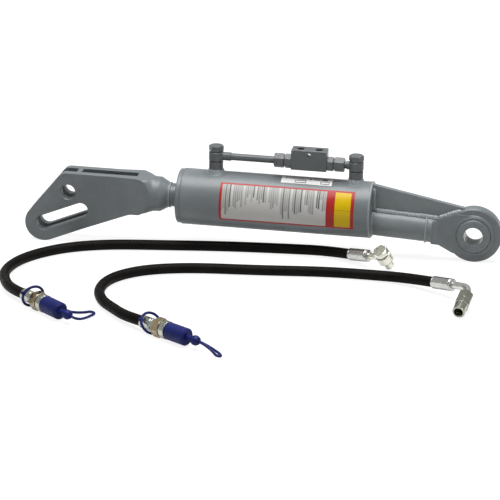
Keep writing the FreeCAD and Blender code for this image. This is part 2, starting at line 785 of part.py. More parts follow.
# Gusset plate on the rear bar, and the weld beads
gusset_blank = padded_outline("gusset_blank", [
    ("Sizes.tube_end + Sizes.cap_rim_width", "-Sizes.eye_drop + 10"),
    ("Sizes.gusset_tip", "-Sizes.eye_drop + 10"),
    ("Sizes.gusset_tip", "Sizes.gusset_tip_height"),
    ("Sizes.tube_end + Sizes.cap_rim_width", f"{CAP_RIM} + Sizes.gusset_step"),
], "Sizes.gusset_thickness")
eye_copy = doc.addObject("Part::Feature", "eye_for_cuts")
doc.recompute()
eye_copy.Shape = eye.Shape
solid_ball = doc.addObject("Part::Sphere", "eye_middle")
solid_ball.setExpression("Radius", "Sizes.collar_radius")
solid_ball.Placement = eye_place
gusset = cut("gusset_shaped", gusset_blank, bar, eye_copy, solid_ball)
finish(gusset, "gusset_plate", arm_parts)


def bead(name, start, stop):
    """Make a round weld bead between two points."""
    run = stop - start
    item = doc.addObject("Part::Cylinder", name)
    item.setExpression("Radius", "Sizes.weld_radius")
    item.Height = run.Length
    item.Placement = placed_z(start, run)
    return item


bead_side = size("gusset_thickness") / 2 + 1.0
bar_top = towards_tube.cross(Y_AXIS).normalize() * (-size("bar_radius") + 1.0)
beads = []
for side, sign in (("near", -1), ("far", 1)):
    offset = Vector(0, sign * bead_side, 0)
    seat_end = eye_centre + towards_tube * (size("shank_flare_start") + 1) + bar_top + offset
    seat_run = (cap_face + 1 - seat_end.x) / towards_tube.x
    seat_start = seat_end + towards_tube * seat_run
    face_stop = Vector(cap_face + 0.5, offset.y, (size("tube_radius") - size("cap_rim_step")) - 3)
    flare_stop = Vector(size("gusset_tip") - 6, offset.y, size("gusset_tip_height") - 1)
    for part, start, stop in (("bar", seat_start, seat_end),
                              ("face", seat_start, face_stop),
                              ("eye", seat_end, flare_stop)):
        beads.append(bead(f"{side}_{part}_bead", start, stop))
bead_limit = half_space("beads_limit", cap_face, size("eye_distance") - 8)
bead_sides = []
for side, first in (("near", 0), ("far", 3)):
    joined = fuse(f"{side}_beads_joined", *beads[first:first + 3])
    kept = common(f"{side}_beads_kept", joined, bead_limit)
    bead_sides.append(cut(f"{side}_beads_cut", kept, bar, eye_copy, gusset, solid_ball))
finish(group("gusset_bead_group", *bead_sides), "gusset_welds", arm_parts)

tube_bead = turned("tube_bead", [
    ("Sizes.tube_end", CAP_RIM),
    ("Sizes.tube_end", "Sizes.tube_radius + 0.4"),
    ("Sizes.tube_end + 1.2", "Sizes.tube_radius + 0.9"),
    ("Sizes.tube_end + 2.6", "Sizes.tube_radius - 0.2"),
    ("Sizes.tube_end + 2.6", CAP_RIM),
])


def ring_bead(name, root, axis, kept):
    """Make a weld bead round the rear bar, open at the top where the gusset stands."""
    item = turned(name + "_turned", [
        ("-3", "Sizes.bar_radius"),
        ("-3", "Sizes.bar_radius + Sizes.end_bead_radius"),
        ("0.8", "Sizes.bar_radius + Sizes.end_bead_radius"),
        ("2.2", "Sizes.bar_radius + Sizes.end_bead_radius / 2"),
        ("3", "Sizes.bar_radius"),
    ])
    item.Placement = placed_x(root, axis)
    opening = doc.addObject("Part::Box", name + "_opening")
    opening.Length = 40
    opening.Width = 2 * (bead_side + size("weld_radius") + 0.3)
    opening.Height = FAR
    opening.Placement = Placement(root - Vector(20, opening.Width.Value / 2, 0), Rotation())
    return cut(name, common(name + "_kept", item, kept), opening)


bar_start = bar_root + towards_tube * ((cap_face - bar_root.x) / towards_tube.x)
cap_bead = ring_bead("cap_bead", bar_start, -towards_tube,
                     half_space("cap_bead_side", cap_face, cap_face + 30))
eye_side = doc.addObject("Part::Box", "eye_bead_side")
eye_side.Length = 30
eye_side.Width = FAR
eye_side.Height = FAR
eye_side.Placement = placed_x(bar_root, towards_tube).multiply(
    Placement(Vector(0, -FAR / 2, -FAR / 2), Rotation()))
eye_bead = ring_bead("eye_bead", bar_root, towards_tube, eye_side)
finish(group("barrel_bead_group", tube_bead, cap_bead, eye_bead), "barrel_welds", arm_parts)

# Port bosses with their weld collars
tube_hull = cylinder("tube_hull", "Sizes.tube_radius", "Sizes.tube_end",
                     placed_z(Vector(0, 0, 0), X_AXIS))
boss_welds = []
for end, station in (("front", "front_port"), ("rear", "rear_port")):
    foot = "(Sizes.tube_radius - 8)"
    boss_blank = turned(f"{end}_boss_blank", [
        (foot, "Sizes.port_radius"),
        (foot, "Sizes.boss_radius"),
        (f"{BOSS_TOP} - 0.8", "Sizes.boss_radius"),
        (BOSS_TOP, "Sizes.boss_radius - 0.8"),
        (BOSS_TOP, "Sizes.banjo_bolt_radius"),
        (f"{BOSS_TOP} - Sizes.banjo_thread_length - 2", "Sizes.banjo_bolt_radius"),
        (f"{BOSS_TOP} - Sizes.banjo_thread_length - 2", "Sizes.port_radius"),
    ])
    boss_blank.Placement = upright(size(station), 0)
    finish(cut(f"{end}_boss", boss_blank, tube_hull), f"port_boss_{end}", arm_parts)
    collar = turned(f"{end}_boss_collar", [
        (foot, "Sizes.boss_radius"),
        (foot, "Sizes.boss_weld_radius + 1"),
        ("Sizes.tube_radius - 1", "Sizes.boss_weld_radius"),
        ("Sizes.tube_radius + 1.5", "Sizes.boss_weld_radius - 1.2"),
        (f"{BOSS_WELD_TOP} - 1", "Sizes.boss_radius + 1.4"),
        (BOSS_WELD_TOP, "Sizes.boss_radius"),
    ])
    collar.Placement = upright(size(station), 0)
    boss_welds.append(cut(f"{end}_boss_weld", collar, tube_hull))
finish(group("boss_weld_group", *boss_welds), "port_boss_welds", arm_parts)

# Banjo fittings, bolts and sealing washers on the bosses
first_washer = BOSS_TOP
banjo_floor = above_tube("boss_height") + size("washer_thickness")
banjo_middle = banjo_floor + size("banjo_height") / 2
banjo_top = banjo_floor + size("banjo_height")
head_floor = banjo_top + size("washer_thickness")


def washer(name, inner, x, z):
    """Make one sealing washer lying flat at a height on the arm."""
    piece = turned(name, [
        ("0", inner),
        ("0", "Sizes.washer_radius"),
        ("Sizes.washer_thickness", "Sizes.washer_radius"),
        ("Sizes.washer_thickness", inner),
    ])
    piece.Placement = upright(x, z)
    return piece


def banjo(name, radius, height, bore, stem, stem_radius, stem_bore):
    """Make a banjo: a ring about Z with a hollow stem along its own X axis."""
    body = turned(name + "_ring", [
        (f"-{height} / 2", "0"),
        (f"-{height} / 2", f"{radius} - 1"),
        (f"-{height} / 2 + 1", radius),
        (f"{height} / 2 - 1", radius),
        (f"{height} / 2", f"{radius} - 1"),
        (f"{height} / 2", "0"),
    ])
    body.Placement = placed_x(Vector(0, 0, 0), Z_AXIS)
    neck_piece = turned(name + "_stem", [
        ("0", "0"),
        ("0", f"{stem_radius}"),
        (f"{stem} - 0.8", f"{stem_radius}"),
        (stem, f"{stem_radius} - 0.8"),
        (stem, "0"),
    ])
    eye_hole = cylinder(name + "_hole", bore, f"{height} + 2")
    doc.recompute()
    eye_hole.Placement = Placement(Vector(0, 0, -eye_hole.Height.Value / 2), Rotation())
    way = cylinder(name + "_way", stem_bore, f"{stem} + 2", placed_z(Vector(0, 0, 0), X_AXIS))
    return cut(name + "_drilled", fuse(name + "_solid", body, neck_piece), eye_hole, way)


def banjo_bolt(name, radius, thread_length, flats, head):
    """Make a banjo bolt along its own X axis: the shank runs to the minus side."""
    shank_piece = turned(name + "_shank", [
        (f"-({thread_length})", "0"),
        (f"-({thread_length})", f"{radius} - 1"),
        (f"-({thread_length}) + 1", radius),
        ("0", radius),
        ("0", "0"),
    ])
    head_piece = hexagon(name + "_head", flats, head)
    return fuse(name + "_solid", shank_piece, head_piece)


washers = []
bolt_reach = ("2 * Sizes.washer_thickness + Sizes.banjo_height + Sizes.banjo_thread_length")
for end, station, stem, direction in (
        ("front", "front_port", "Sizes.banjo_radius + Sizes.stem_length - 12.5", X_AXIS),
        ("rear", "rear_port", "Sizes.short_stem_length", -X_AXIS)):
    x = size(station)
    bore = "Sizes.banjo_bolt_radius"
    washers.append(washer(f"{end}_low_washer", bore, x, above_tube("boss_height")))
    washers.append(washer(f"{end}_high_washer", bore, x, banjo_top))
    fitting = banjo(f"{end}_banjo", "Sizes.banjo_radius", "Sizes.banjo_height", bore, stem,
                    "Sizes.stem_radius", "Sizes.pipe_radius")
    finish(fitting, f"banjo_{end}", arm_parts, placed_x(Vector(x, 0, banjo_middle), direction))
    bolt = banjo_bolt(f"{end}_bolt", "Sizes.banjo_bolt_radius", bolt_reach,
                      "Sizes.bolt_head_flats", "Sizes.bolt_head_height")
    finish(bolt, f"banjo_bolt_{end}", arm_parts, upright(x, head_floor))
finish(group("washer_group", *washers), "banjo_washers", arm_parts)

# Valve block with its bores, check poppet and pipe fittings
pipe_height = banjo_middle
block = padded_outline("block", [
    ("Sizes.block_start", BLOCK_BOTTOM),
    ("Sizes.block_start + Sizes.block_length", BLOCK_BOTTOM),
    ("Sizes.block_start + Sizes.block_length", f"{BLOCK_BOTTOM} + Sizes.block_height"),
    ("Sizes.block_start", f"{BLOCK_BOTTOM} + Sizes.block_height"),
], "Sizes.block_depth")
doc.recompute()
block_pad = block.Tip
block_edges = block.newObject("PartDesign::Chamfer", "block_chamfer")
all_edges = [f"Edge{number}" for number in range(1, len(block_pad.Shape.Edges) + 1)]
block_edges.Base = (block_pad, all_edges)
block_edges.Size = 0.8
block.Tip = block_edges
block_front = size("block_start")
block_back = block_front + size("block_length")
block_top = above_tube("block_clearance") + size("block_height")
drills = [
    cylinder("block_way", "Sizes.block_bore_radius", "Sizes.block_length",
             placed_z(Vector(block_front, 0, pipe_height), X_AXIS)),
    cylinder("block_front_port", "Sizes.block_port_radius", "Sizes.block_port_depth + 1",
             placed_z(Vector(block_front - 1, 0, pipe_height), X_AXIS)),
    cylinder("block_rear_port", "Sizes.block_port_radius", "Sizes.block_port_depth + 1",
             placed_z(Vector(block_back + 1, 0, pipe_height), -X_AXIS)),
    cylinder("block_hole_drill", "Sizes.block_hole_radius", "Sizes.block_depth + 2",
             placed_z(Vector(size("block_hole"), -size("block_depth") / 2 - 1,
                             above_tube("block_clearance") + size("block_hole_rise")), Y_AXIS)),
    cylinder("block_recess", "Sizes.block_recess_radius", "Sizes.block_recess_depth + 1",
             placed_z(Vector(size("block_hole"), size("block_depth") / 2 + 1,
                             above_tube("block_clearance") + size("block_hole_rise")), -Y_AXIS)),
]
for end, station in (("front", "front_service_port"), ("rear", "rear_service_port")):
    down = placed_z(Vector(size(station), 0, block_top + 1), -Z_AXIS)
    drills.append(cylinder(f"{end}_service_way", "Sizes.service_port_radius",
                           "Sizes.service_port_depth + 1", down))
    drills.append(cylinder(f"{end}_service_cross", "Sizes.service_port_radius / 2",
                           "Sizes.block_height / 2 + 6", down))
    drills.append(cylinder(f"{end}_service_spot", "Sizes.service_spot_radius",
                           "Sizes.service_spot_depth + 1", down))
finish(cut("block_drilled", block, *drills), "valve_block", arm_parts)

poppet = turned("poppet_turned", [
    ("0", "0"),
    ("0", "1.5"),
    ("4", "Sizes.block_bore_radius - Sizes.running_gap"),
    ("Sizes.poppet_length", "Sizes.block_bore_radius - Sizes.running_gap"),
    ("Sizes.poppet_length", "0"),
])
finish(poppet, "check_poppet", arm_parts,
       placed_x(Vector(block_front + size("poppet_offset"), 0, pipe_height), X_AXIS))


def stud_fitting(name):
    """Make a pipe fitting along its own X axis: stud, hexagon and nut thread."""
    body = turned(name + "_thread", [
        ("-Sizes.block_port_depth + 1", "Sizes.pipe_radius - Sizes.pipe_wall"),
        ("-Sizes.block_port_depth + 1", "Sizes.block_port_radius - 1"),
        ("-Sizes.block_port_depth + 2", "Sizes.block_port_radius"),
        ("0", "Sizes.block_port_radius"),
        ("0.5", "Sizes.fitting_thread_radius"),
        ("Sizes.fitting_hex_length + Sizes.fitting_thread_length", "Sizes.fitting_thread_radius"),
        ("Sizes.fitting_hex_length + Sizes.fitting_thread_length", "Sizes.pipe_radius"),
        ("Sizes.fitting_hex_length + 2", "Sizes.pipe_radius"),
        ("Sizes.fitting_hex_length + 2", "Sizes.pipe_radius - Sizes.pipe_wall"),
    ])
    collar = hexagon(name + "_collar", "Sizes.fitting_flats", "Sizes.fitting_hex_length",
                     "Sizes.pipe_radius")
    return fuse(name + "_solid", body, collar)


def pipe_nut(name):
    """Make a pipe nut along its own X axis, open towards the fitting."""
    blank = hexagon(name + "_hex", "Sizes.pipe_nut_flats", "Sizes.pipe_nut_length",
                    "Sizes.pipe_radius")
    cup = cylinder(name + "_cup", "Sizes.fitting_thread_radius",
                   "Sizes.fitting_thread_length - Sizes.pipe_nut_gap + 1",
                   placed_z(Vector(-1, 0, 0), X_AXIS))
    return cut(name + "_open", blank, cup)


pipe_nuts = []
nut_offset = size("fitting_hex_length") + size("pipe_nut_gap")
for end, face, direction in (("front", block_front, -X_AXIS), ("rear", block_back, X_AXIS)):
    root = Vector(face, 0, pipe_height)
    finish(stud_fitting(f"{end}_stud"), f"valve_fitting_{end}", arm_parts,
           placed_x(root, direction))
    nut = pipe_nut(f"{end}_pipe_nut")
    nut.Placement = placed_x(root + direction * nut_offset, direction)
    pipe_nuts.append(nut)
finish(group("pipe_nut_group", *pipe_nuts), "pipe_nuts", arm_parts)

banjo_wall = size("banjo_bolt_radius") + 1.0
pipe_depth = size("fitting_hex_length") + 2
for label, start, stop in (
        ("pipe_long", size("front_port") + banjo_wall, block_front - pipe_depth),
        ("pipe_short", block_back + pipe_depth, size("rear_port") - banjo_wall)):
    length = stop - start
    tube_piece = Part.makeCylinder(size("pipe_radius"), length)
    way = Part.makeCylinder(size("pipe_radius") - size("pipe_wall"), length)
    item = feature(label + "_tube", tube_piece.cut(way))
    finish(item, label, arm_parts, placed_z(Vector(start, 0, pipe_height), X_AXIS))


# Stickers: thin curved sheets on the near side of the tube
def sticker(name, start, length, low, high):
    """Make a curved sheet between two angles above the near side of the tube."""
    inner = size("tube_radius") + size("sticker_gap")
    outer = inner + size("sticker_thickness")
    sweep = size(high) - size(low)
    shell = Part.makeCylinder(outer, size(length), Vector(0, 0, 0), Z_AXIS, sweep)
    shell = shell.cut(Part.makeCylinder(inner, size(length)))
    angle = math.radians(size(low))
    lower_edge = Vector(0, -math.cos(angle), math.sin(angle))
    upward = Vector(0, math.sin(angle), math.cos(angle))
    turn = Rotation(lower_edge, upward, -X_AXIS, "ZXY")
    far_end = Vector(size(start) + size(length), 0, 0)
    return finish(feature(name + "_sheet", shell), name, arm_parts, Placement(far_end, turn))


sticker("sticker_main", "main_sticker_start", "main_sticker_length",
        "main_sticker_from", "main_sticker_to")
sticker("sticker_small", "small_sticker_start", "small_sticker_length",
        "small_sticker_from", "small_sticker_to")

# Hose A: its route in the final frame, from the banjo to the coupler
HOSE_A_ROUTE = [
    (155.0, -44.0, 14.5), (116.0, -22.4, 10.0), (52.2, -20.0, 8.8), (-55.3, -24.9, 8.8),
    (-164.8, -37.5, 8.8), (-253.0, -48.0, 8.8), (-317.3, -72.3, 8.8), (-360.1, -109.0, 8.8),
    (-387.3, -151.8, 8.8), (-396.1, -202.4, 8.8), (-386.0, -243.0, 9.5), (-361.5, -294.3, 13.4),
    (-334.3, -317.9, 15.0),
]
HOSE_A_BANJO = Vector(220.2, -80.3, 25.0)
COUPLER_A_AXIS = Vector(0.7604, -0.6494, 0.0)

# Hose B: from the elbow to the coupler
HOSE_B_ROUTE = [
    (307.5, -160.0, 17.0), (270.0, -135.5, 11.6), (214.7, -123.6, 9.0), (128.9, -119.7, 8.8),
    (20.2, -131.3, 8.8), (-78.2, -136.3, 8.8), (-141.1, -149.6, 8.8), (-186.2, -173.1, 8.8),
    (-217.5, -213.0, 8.8), (-223.2, -265.0, 8.8), (-205.4, -313.9, 9.5), (-180.3, -345.5, 10.6),
    (-151.4, -383.6, 13.4), (-121.6, -403.7, 15.0),
]
ELBOW_CORNER = Vector(374.5, -203.7, 27.0)
ADAPTER_END = Vector(364.9, -270.0, 11.2)
COUPLER_B_AXIS = Vector(0.829, -0.5592, 0.0)

cord("hose_a", HOSE_A_ROUTE, size("hose_radius"))
cord("hose_b", HOSE_B_ROUTE, size("hose_radius"))


def ferrule(name, length):
    """Make a crimped ferrule along its own X axis, with a shallow turned waist."""
    return turned(name, [
        ("0", "0"),
        ("0", "Sizes.ferrule_radius - 1"),
        ("1", "Sizes.ferrule_radius"),
        ("5", "Sizes.ferrule_radius"),
        ("6", "Sizes.ferrule_radius - 0.6"),
        (f"{length} - 9", "Sizes.ferrule_radius - 0.6"),
        (f"{length} - 8", "Sizes.ferrule_radius"),
        (f"{length} - 1.5", "Sizes.ferrule_radius"),
        (length, "Sizes.ferrule_radius - 1.5"),
        (length, "0"),
    ])


# Hose A's banjo end, tilted so that the bolt's tip rests on the ground
start_a = Vector(*HOSE_A_ROUTE[0])
out_a = (HOSE_A_BANJO - start_a).normalize()
finish(ferrule("hose_a_ferrule_turned", "Sizes.ferrule_length"), "hose_a_ferrule", hose_parts,
       placed_x(start_a, out_a))
sideways = out_a.cross(Z_AXIS).normalize()
raised = sideways.cross(out_a).normalize()
bolt_tilt = math.radians(size("hose_banjo_tilt"))
bolt_axis = sideways * math.cos(bolt_tilt) + raised * math.sin(bolt_tilt)
stem_end = start_a + out_a * size("ferrule_length")
stem_length = (HOSE_A_BANJO - stem_end).Length
sheet_row = len(SIZES) + 1
sheet.set(f"A{sheet_row}", "hose banjo stem length")
sheet.set(f"B{sheet_row}", str(stem_length))
sheet.setAlias(f"B{sheet_row}", "hose_banjo_stem")
doc.recompute()
hose_banjo = banjo("hose_a_banjo", "Sizes.hose_banjo_radius", "Sizes.hose_banjo_height",
                   "Sizes.hose_bolt_radius", "Sizes.hose_banjo_stem", "Sizes.nipple_radius", "3")
banjo_turn = Rotation(-out_a, bolt_axis.cross(-out_a), bolt_axis, "ZXY")
finish(hose_banjo, "hose_a_banjo", hose_parts, Placement(HOSE_A_BANJO, banjo_turn))
hose_washers = []
for side, sign in (("head", 1), ("tip", -1)):
    piece = turned(f"hose_{side}_washer", [
        ("0", "Sizes.hose_bolt_radius"),
        ("0", "Sizes.washer_radius"),
        ("Sizes.washer_thickness", "Sizes.washer_radius"),
        ("Sizes.washer_thickness", "Sizes.hose_bolt_radius"),
    ])
    piece.Placement = placed_x(HOSE_A_BANJO + bolt_axis * (sign * size("hose_banjo_height") / 2),
                               bolt_axis * sign)
    hose_washers.append(piece)
finish(group("hose_washer_group", *hose_washers), "hose_a_washers", hose_parts)
hose_grip = "(2 * Sizes.washer_thickness + Sizes.hose_banjo_height)"
hose_shank = turned("hose_a_bolt_shank", [
    (f"-{hose_grip} - Sizes.hose_bolt_thread", "0"),
    (f"-{hose_grip} - Sizes.hose_bolt_thread", "Sizes.hose_thread_radius - 1"),
    (f"-{hose_grip} - Sizes.hose_bolt_thread + 1", "Sizes.hose_thread_radius"),
    (f"-{hose_grip} - Sizes.hose_thread_relief", "Sizes.hose_thread_radius"),
    (f"-{hose_grip} - Sizes.hose_thread_relief", "Sizes.hose_thread_radius - 1"),
    (f"-{hose_grip}", "Sizes.hose_thread_radius - 1"),
    (f"-{hose_grip}", "Sizes.hose_bolt_radius"),
    ("0", "Sizes.hose_bolt_radius"),
    ("0", "0"),
])
hose_head = hexagon("hose_a_bolt_head", "Sizes.bolt_head_flats", "Sizes.bolt_head_height")
hose_bolt = fuse("hose_a_bolt_solid", hose_shank, hose_head)
head_seat = HOSE_A_BANJO + bolt_axis * (size("hose_banjo_height") / 2 + size("washer_thickness"))
finish(hose_bolt, "hose_a_bolt", hose_parts, placed_x(head_seat, bolt_axis))

# Hose B's swept elbow, swivel nut and adapter
start_b = Vector(*HOSE_B_ROUTE[0])
out_b = (ELBOW_CORNER - start_b).normalize()
finish(ferrule("hose_b_ferrule_turned", "Sizes.ferrule_length"), "hose_b_ferrule", hose_parts,
       placed_x(start_b, out_b))
drop_b = (ADAPTER_END - ELBOW_CORNER).normalize()
elbow_start = start_b + out_b * size("ferrule_length")
elbow_stop = ELBOW_CORNER + drop_b * (size("elbow_nut_start") + 6)
half_turn = out_b.getAngle(drop_b) / 2
bend_reach = size("elbow_bend_radius") * math.tan(half_turn)
bend_entry = ELBOW_CORNER - out_b * bend_reach
bend_leave = ELBOW_CORNER + drop_b * bend_reach
inward = (drop_b - out_b).normalize()
bend_centre = ELBOW_CORNER + inward * (size("elbow_bend_radius") / math.cos(half_turn))
bend_middle = bend_centre - inward * size("elbow_bend_radius")
elbow_wire = Part.Wire([
    Part.LineSegment(elbow_start, bend_entry).toShape(),
    Part.Arc(bend_entry, bend_middle, bend_leave).toShape(),
    Part.LineSegment(bend_leave, elbow_stop).toShape(),
])
elbow_pipe, elbow_way = (
    elbow_wire.makePipeShell([Part.Wire(Part.makeCircle(size(alias), elbow_start, out_b))],
                             True, False)
    for alias in ("elbow_radius", "elbow_bore_radius"))
finish(feature("hose_b_elbow_pipe", elbow_pipe.cut(elbow_way)), "hose_b_elbow", hose_parts)
nut_root = ELBOW_CORNER + drop_b * size("elbow_nut_start")
elbow_nut = hexagon("elbow_nut", "Sizes.pipe_nut_flats", "Sizes.elbow_nut_length",
                    "Sizes.elbow_radius + Sizes.running_gap")
elbow_nut_cup = cylinder("elbow_nut_cup", "Sizes.fitting_thread_radius", "Sizes.elbow_nut_length",
                         placed_z(Vector(size("elbow_nut_length") - 10, 0, 0), X_AXIS))
finish(cut("elbow_nut_open", elbow_nut, elbow_nut_cup), "hose_b_swivel_nut", hose_parts,
       placed_x(nut_root, drop_b))
adapter_body = turned("adapter_turned", [
    ("-9", "Sizes.adapter_bore_radius - 3"),
    ("-9", "Sizes.fitting_thread_radius"),
    ("1", "Sizes.fitting_thread_radius"),
    ("11", "Sizes.adapter_radius"),
    ("Sizes.adapter_length - 1", "Sizes.adapter_radius"),
    ("Sizes.adapter_length", "Sizes.adapter_radius - 1"),
    ("Sizes.adapter_length", "Sizes.adapter_bore_radius"),
    ("6", "Sizes.adapter_bore_radius"),
    ("6", "Sizes.adapter_bore_radius - 3"),
])
adapter_hex = hexagon("adapter_hex", "Sizes.pipe_nut_flats", "11", "Sizes.adapter_bore_radius")
adapter_hex.Placement = Placement(Vector(0.8, 0, 0), Rotation())
finish(fuse("adapter_solid", adapter_body, adapter_hex), "hose_b_adapter", hose_parts,
       placed_x(nut_root + drop_b * size("elbow_nut_length"), drop_b))


# Quick couplers, dust caps, strap rings and straps
def coupler(letter, start, axis, ring_centre, ring_axis):
    """Make one coupler with its ferrule, dust cap and the strap ring that hangs on it."""
    finish(ferrule(f"coupler_{letter}_ferrule_turned", "Sizes.coupler_ferrule_length"),
           f"coupler_ferrule_{letter}", hose_parts, placed_x(start, axis))
    collar_start = "(Sizes.coupler_hex_start + Sizes.coupler_hex_length + Sizes.coupler_collar_gap)"
    collar_stop = f"({collar_start} + Sizes.coupler_collar_length)"
    body = turned(f"coupler_{letter}_turned", [
        ("Sizes.coupler_ferrule_length", "0"),
        ("Sizes.coupler_ferrule_length", "Sizes.coupler_neck_radius"),
        ("Sizes.coupler_hex_start", "Sizes.coupler_neck_radius"),
        ("Sizes.coupler_hex_start", "Sizes.coupler_nose_radius"),
        (collar_start, "Sizes.coupler_nose_radius"),
        (collar_start, "Sizes.coupler_collar_radius - 1"),
        (f"{collar_start} + 1", "Sizes.coupler_collar_radius"),
        (f"{collar_stop} - 1", "Sizes.coupler_collar_radius"),
        (collar_stop, "Sizes.coupler_collar_radius - 1"),
        (collar_stop, "Sizes.coupler_nose_radius"),
        ("Sizes.coupler_nose_end - 22", "Sizes.coupler_nose_radius"),
        ("Sizes.coupler_nose_end - 20", "Sizes.coupler_nose_radius - 2"),
        ("Sizes.coupler_nose_end - 15", "Sizes.coupler_nose_radius - 2"),
        ("Sizes.coupler_nose_end - 13", "Sizes.coupler_nose_radius"),
        ("Sizes.coupler_nose_end - 3", "Sizes.coupler_nose_radius"),
        ("Sizes.coupler_nose_end", "Sizes.coupler_nose_radius - 2"),
        ("Sizes.coupler_nose_end", "Sizes.coupler_bore_radius"),
        ("Sizes.coupler_nose_end - 24", "Sizes.coupler_bore_radius"),
        ("Sizes.coupler_nose_end - 24", "0"),
    ])
    nut = hexagon(f"coupler_{letter}_hex", "Sizes.coupler_hex_flats", "Sizes.coupler_hex_length")
    nut.Placement = Placement(Vector(size("coupler_hex_start"), 0, 0), Rotation(X_AXIS, 30))
    finish(fuse(f"coupler_{letter}_solid", body, nut), f"coupler_{letter}", hose_parts,
           placed_x(start, axis))
    cap_bore = "(Sizes.coupler_nose_radius + Sizes.dust_cap_gap)"
    cap = turned(f"dust_cap_{letter}_turned", [
        ("Sizes.dust_cap_start", cap_bore),
        ("Sizes.dust_cap_start", "Sizes.dust_cap_radius - 1"),
        ("Sizes.dust_cap_start + 1", "Sizes.dust_cap_radius"),
        ("Sizes.dust_cap_end - 3", "Sizes.dust_cap_radius"),
        ("Sizes.dust_cap_end", "Sizes.dust_cap_radius - 3"),
        ("Sizes.dust_cap_end", "Sizes.dust_nub_radius"),
        ("Sizes.dust_nub_end - 15", "Sizes.dust_nub_radius"),
        ("Sizes.dust_nub_end - 13", "Sizes.dust_knob_radius - 1.2"),
        ("Sizes.dust_nub_end - 10", "Sizes.dust_knob_radius"),
        ("Sizes.dust_nub_end - 6", "Sizes.dust_knob_radius"),
        ("Sizes.dust_nub_end - 2", "Sizes.dust_knob_radius - 1.8"),
        ("Sizes.dust_nub_end", "Sizes.dust_knob_radius - 4.5"),
        ("Sizes.dust_nub_end", "0"),
        ("Sizes.coupler_nose_end + 1", "0"),
        ("Sizes.coupler_nose_end + 1", cap_bore),
    ])
    finish(cap, f"dust_cap_{letter}", hose_parts, placed_x(start, axis))
    ring_piece = doc.addObject("Part::Torus", f"strap_ring_{letter}_torus")
    ring_piece.setExpression("Radius1", f"Sizes.strap_ring_radius_{letter}")
    ring_piece.setExpression("Radius2", "Sizes.strap_radius")
    finish(ring_piece, f"strap_ring_{letter}", hose_parts, placed_z(ring_centre, ring_axis))


coupler_a_start = Vector(*HOSE_A_ROUTE[-1])
coupler_b_start = Vector(*HOSE_B_ROUTE[-1])
coupler("a", coupler_a_start, COUPLER_A_AXIS.normalize(),
        Vector(-312.56, -337.89, 19.51), Vector(0.5886, -0.774, -0.2334))
coupler("b", coupler_b_start, COUPLER_B_AXIS.normalize(),
        Vector(-102.61, -414.73, 16.22), Vector(0.5969, -0.5057, 0.6229))

# Straps: from the knob of a dust cap out to a fold and back to the ring behind the coupler
STRAP_A_ROUTE = [
    (-235.4, -402.4, 15.0), (-228.0, -408.4, 13.8), (-220.5, -399.2, 9.2), (-216.5, -383.5, 5.2),
    (-211.5, -367.5, 3.2), (-206.7, -353.6, 2.5), (-215.6, -346.0, 2.5), (-226.1, -352.6, 2.5),
    (-238.3, -355.0, 2.5), (-252.9, -351.9, 2.5), (-270.9, -339.2, 2.5), (-284.3, -326.6, 2.7),
    (-295.0, -321.4, 5.5), (-300.0, -325.4, 9.5),
]
STRAP_B_ROUTE = [
    (-13.7, -476.5, 15.0), (-6.5, -481.3, 14.0), (1.8, -485.7, 10.5), (10.8, -492.7, 6.5),
    (17.2, -501.4, 3.9), (25.4, -500.4, 2.7), (21.8, -490.4, 2.5), (11.6, -477.5, 2.5),
    (-3.9, -459.6, 2.5), (-20.1, -444.3, 2.5), (-38.0, -429.9, 2.5), (-57.0, -415.3, 2.5),
    (-70.6, -403.7, 2.9), (-82.0, -398.8, 6.4), (-87.1, -403.2, 10.2),
]
cord("strap_a", STRAP_A_ROUTE, size("strap_radius"))
cord("strap_b", STRAP_B_ROUTE, size("strap_radius"))

doc.recompute()

# Lean the arm so that the lobe and the eye stand on the ground, centred over the origin
lobe_centre = Vector(-size("lobe_back"), 0, -size("lobe_drop"))
span = eye_centre - lobe_centre
line_length = math.hypot(span.x, span.z)
lean = math.asin((size("eye_radius") - size("lobe_radius")) / line_length) * -1
lean += math.atan2(span.z, span.x)
turn = Rotation(Y_AXIS, math.degrees(lean))
low_lobe = turn.multVec(lobe_centre)
low_eye = turn.multVec(eye_centre)
left = low_lobe.x - size("lobe_radius")
right = low_eye.x + size("eye_radius")
ground = low_lobe.z - size("lobe_radius")
stand = Placement(Vector(-(left + right) / 2, 0, -ground), turn)
print(f"arm leans {math.degrees(lean):.3f} degrees, moved by {stand.Base}")

failed = [item.Name for item in doc.Objects if {"Invalid", "Error"} & set(item.State)]
if failed:
    raise RuntimeError(f"failed objects: {failed}")

os.makedirs("parts", exist_ok=True)
for parts, place in ((arm_parts, stand), (hose_parts, Placement())):
    for item in parts:
        shape = item.Shape.copy()
        if shape.isNull() or not shape.isValid() or not shape.Solids:
            raise RuntimeError(f"{item.Label} has no valid solid")
        shape.Placement = place.multiply(shape.Placement)
        shape.exportStep(f"parts/{item.Label}.step")
        box = shape.BoundBox
        print(f"{item.Label}: solids {len(shape.Solids)}, volume {shape.Volume:.0f}, "
              f"x {box.XMin:.1f} {box.XMax:.1f}, y {box.YMin:.1f} {box.YMax:.1f}, "
              f"z {box.ZMin:.1f} {box.ZMax:.1f}")
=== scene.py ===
"""Visual model of a hydraulic tractor lift arm with two loose hoses.

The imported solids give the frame. This script gives them their finishes, and adds what the
solids leave plain: rippled weld beads, crimped ferrules, curved stickers and smooth hoses.
"""
import sys
import logging
import math
from dataclasses import dataclass, field
from enum import Enum

import bpy
import numpy as np
from mathutils import Matrix, Vector


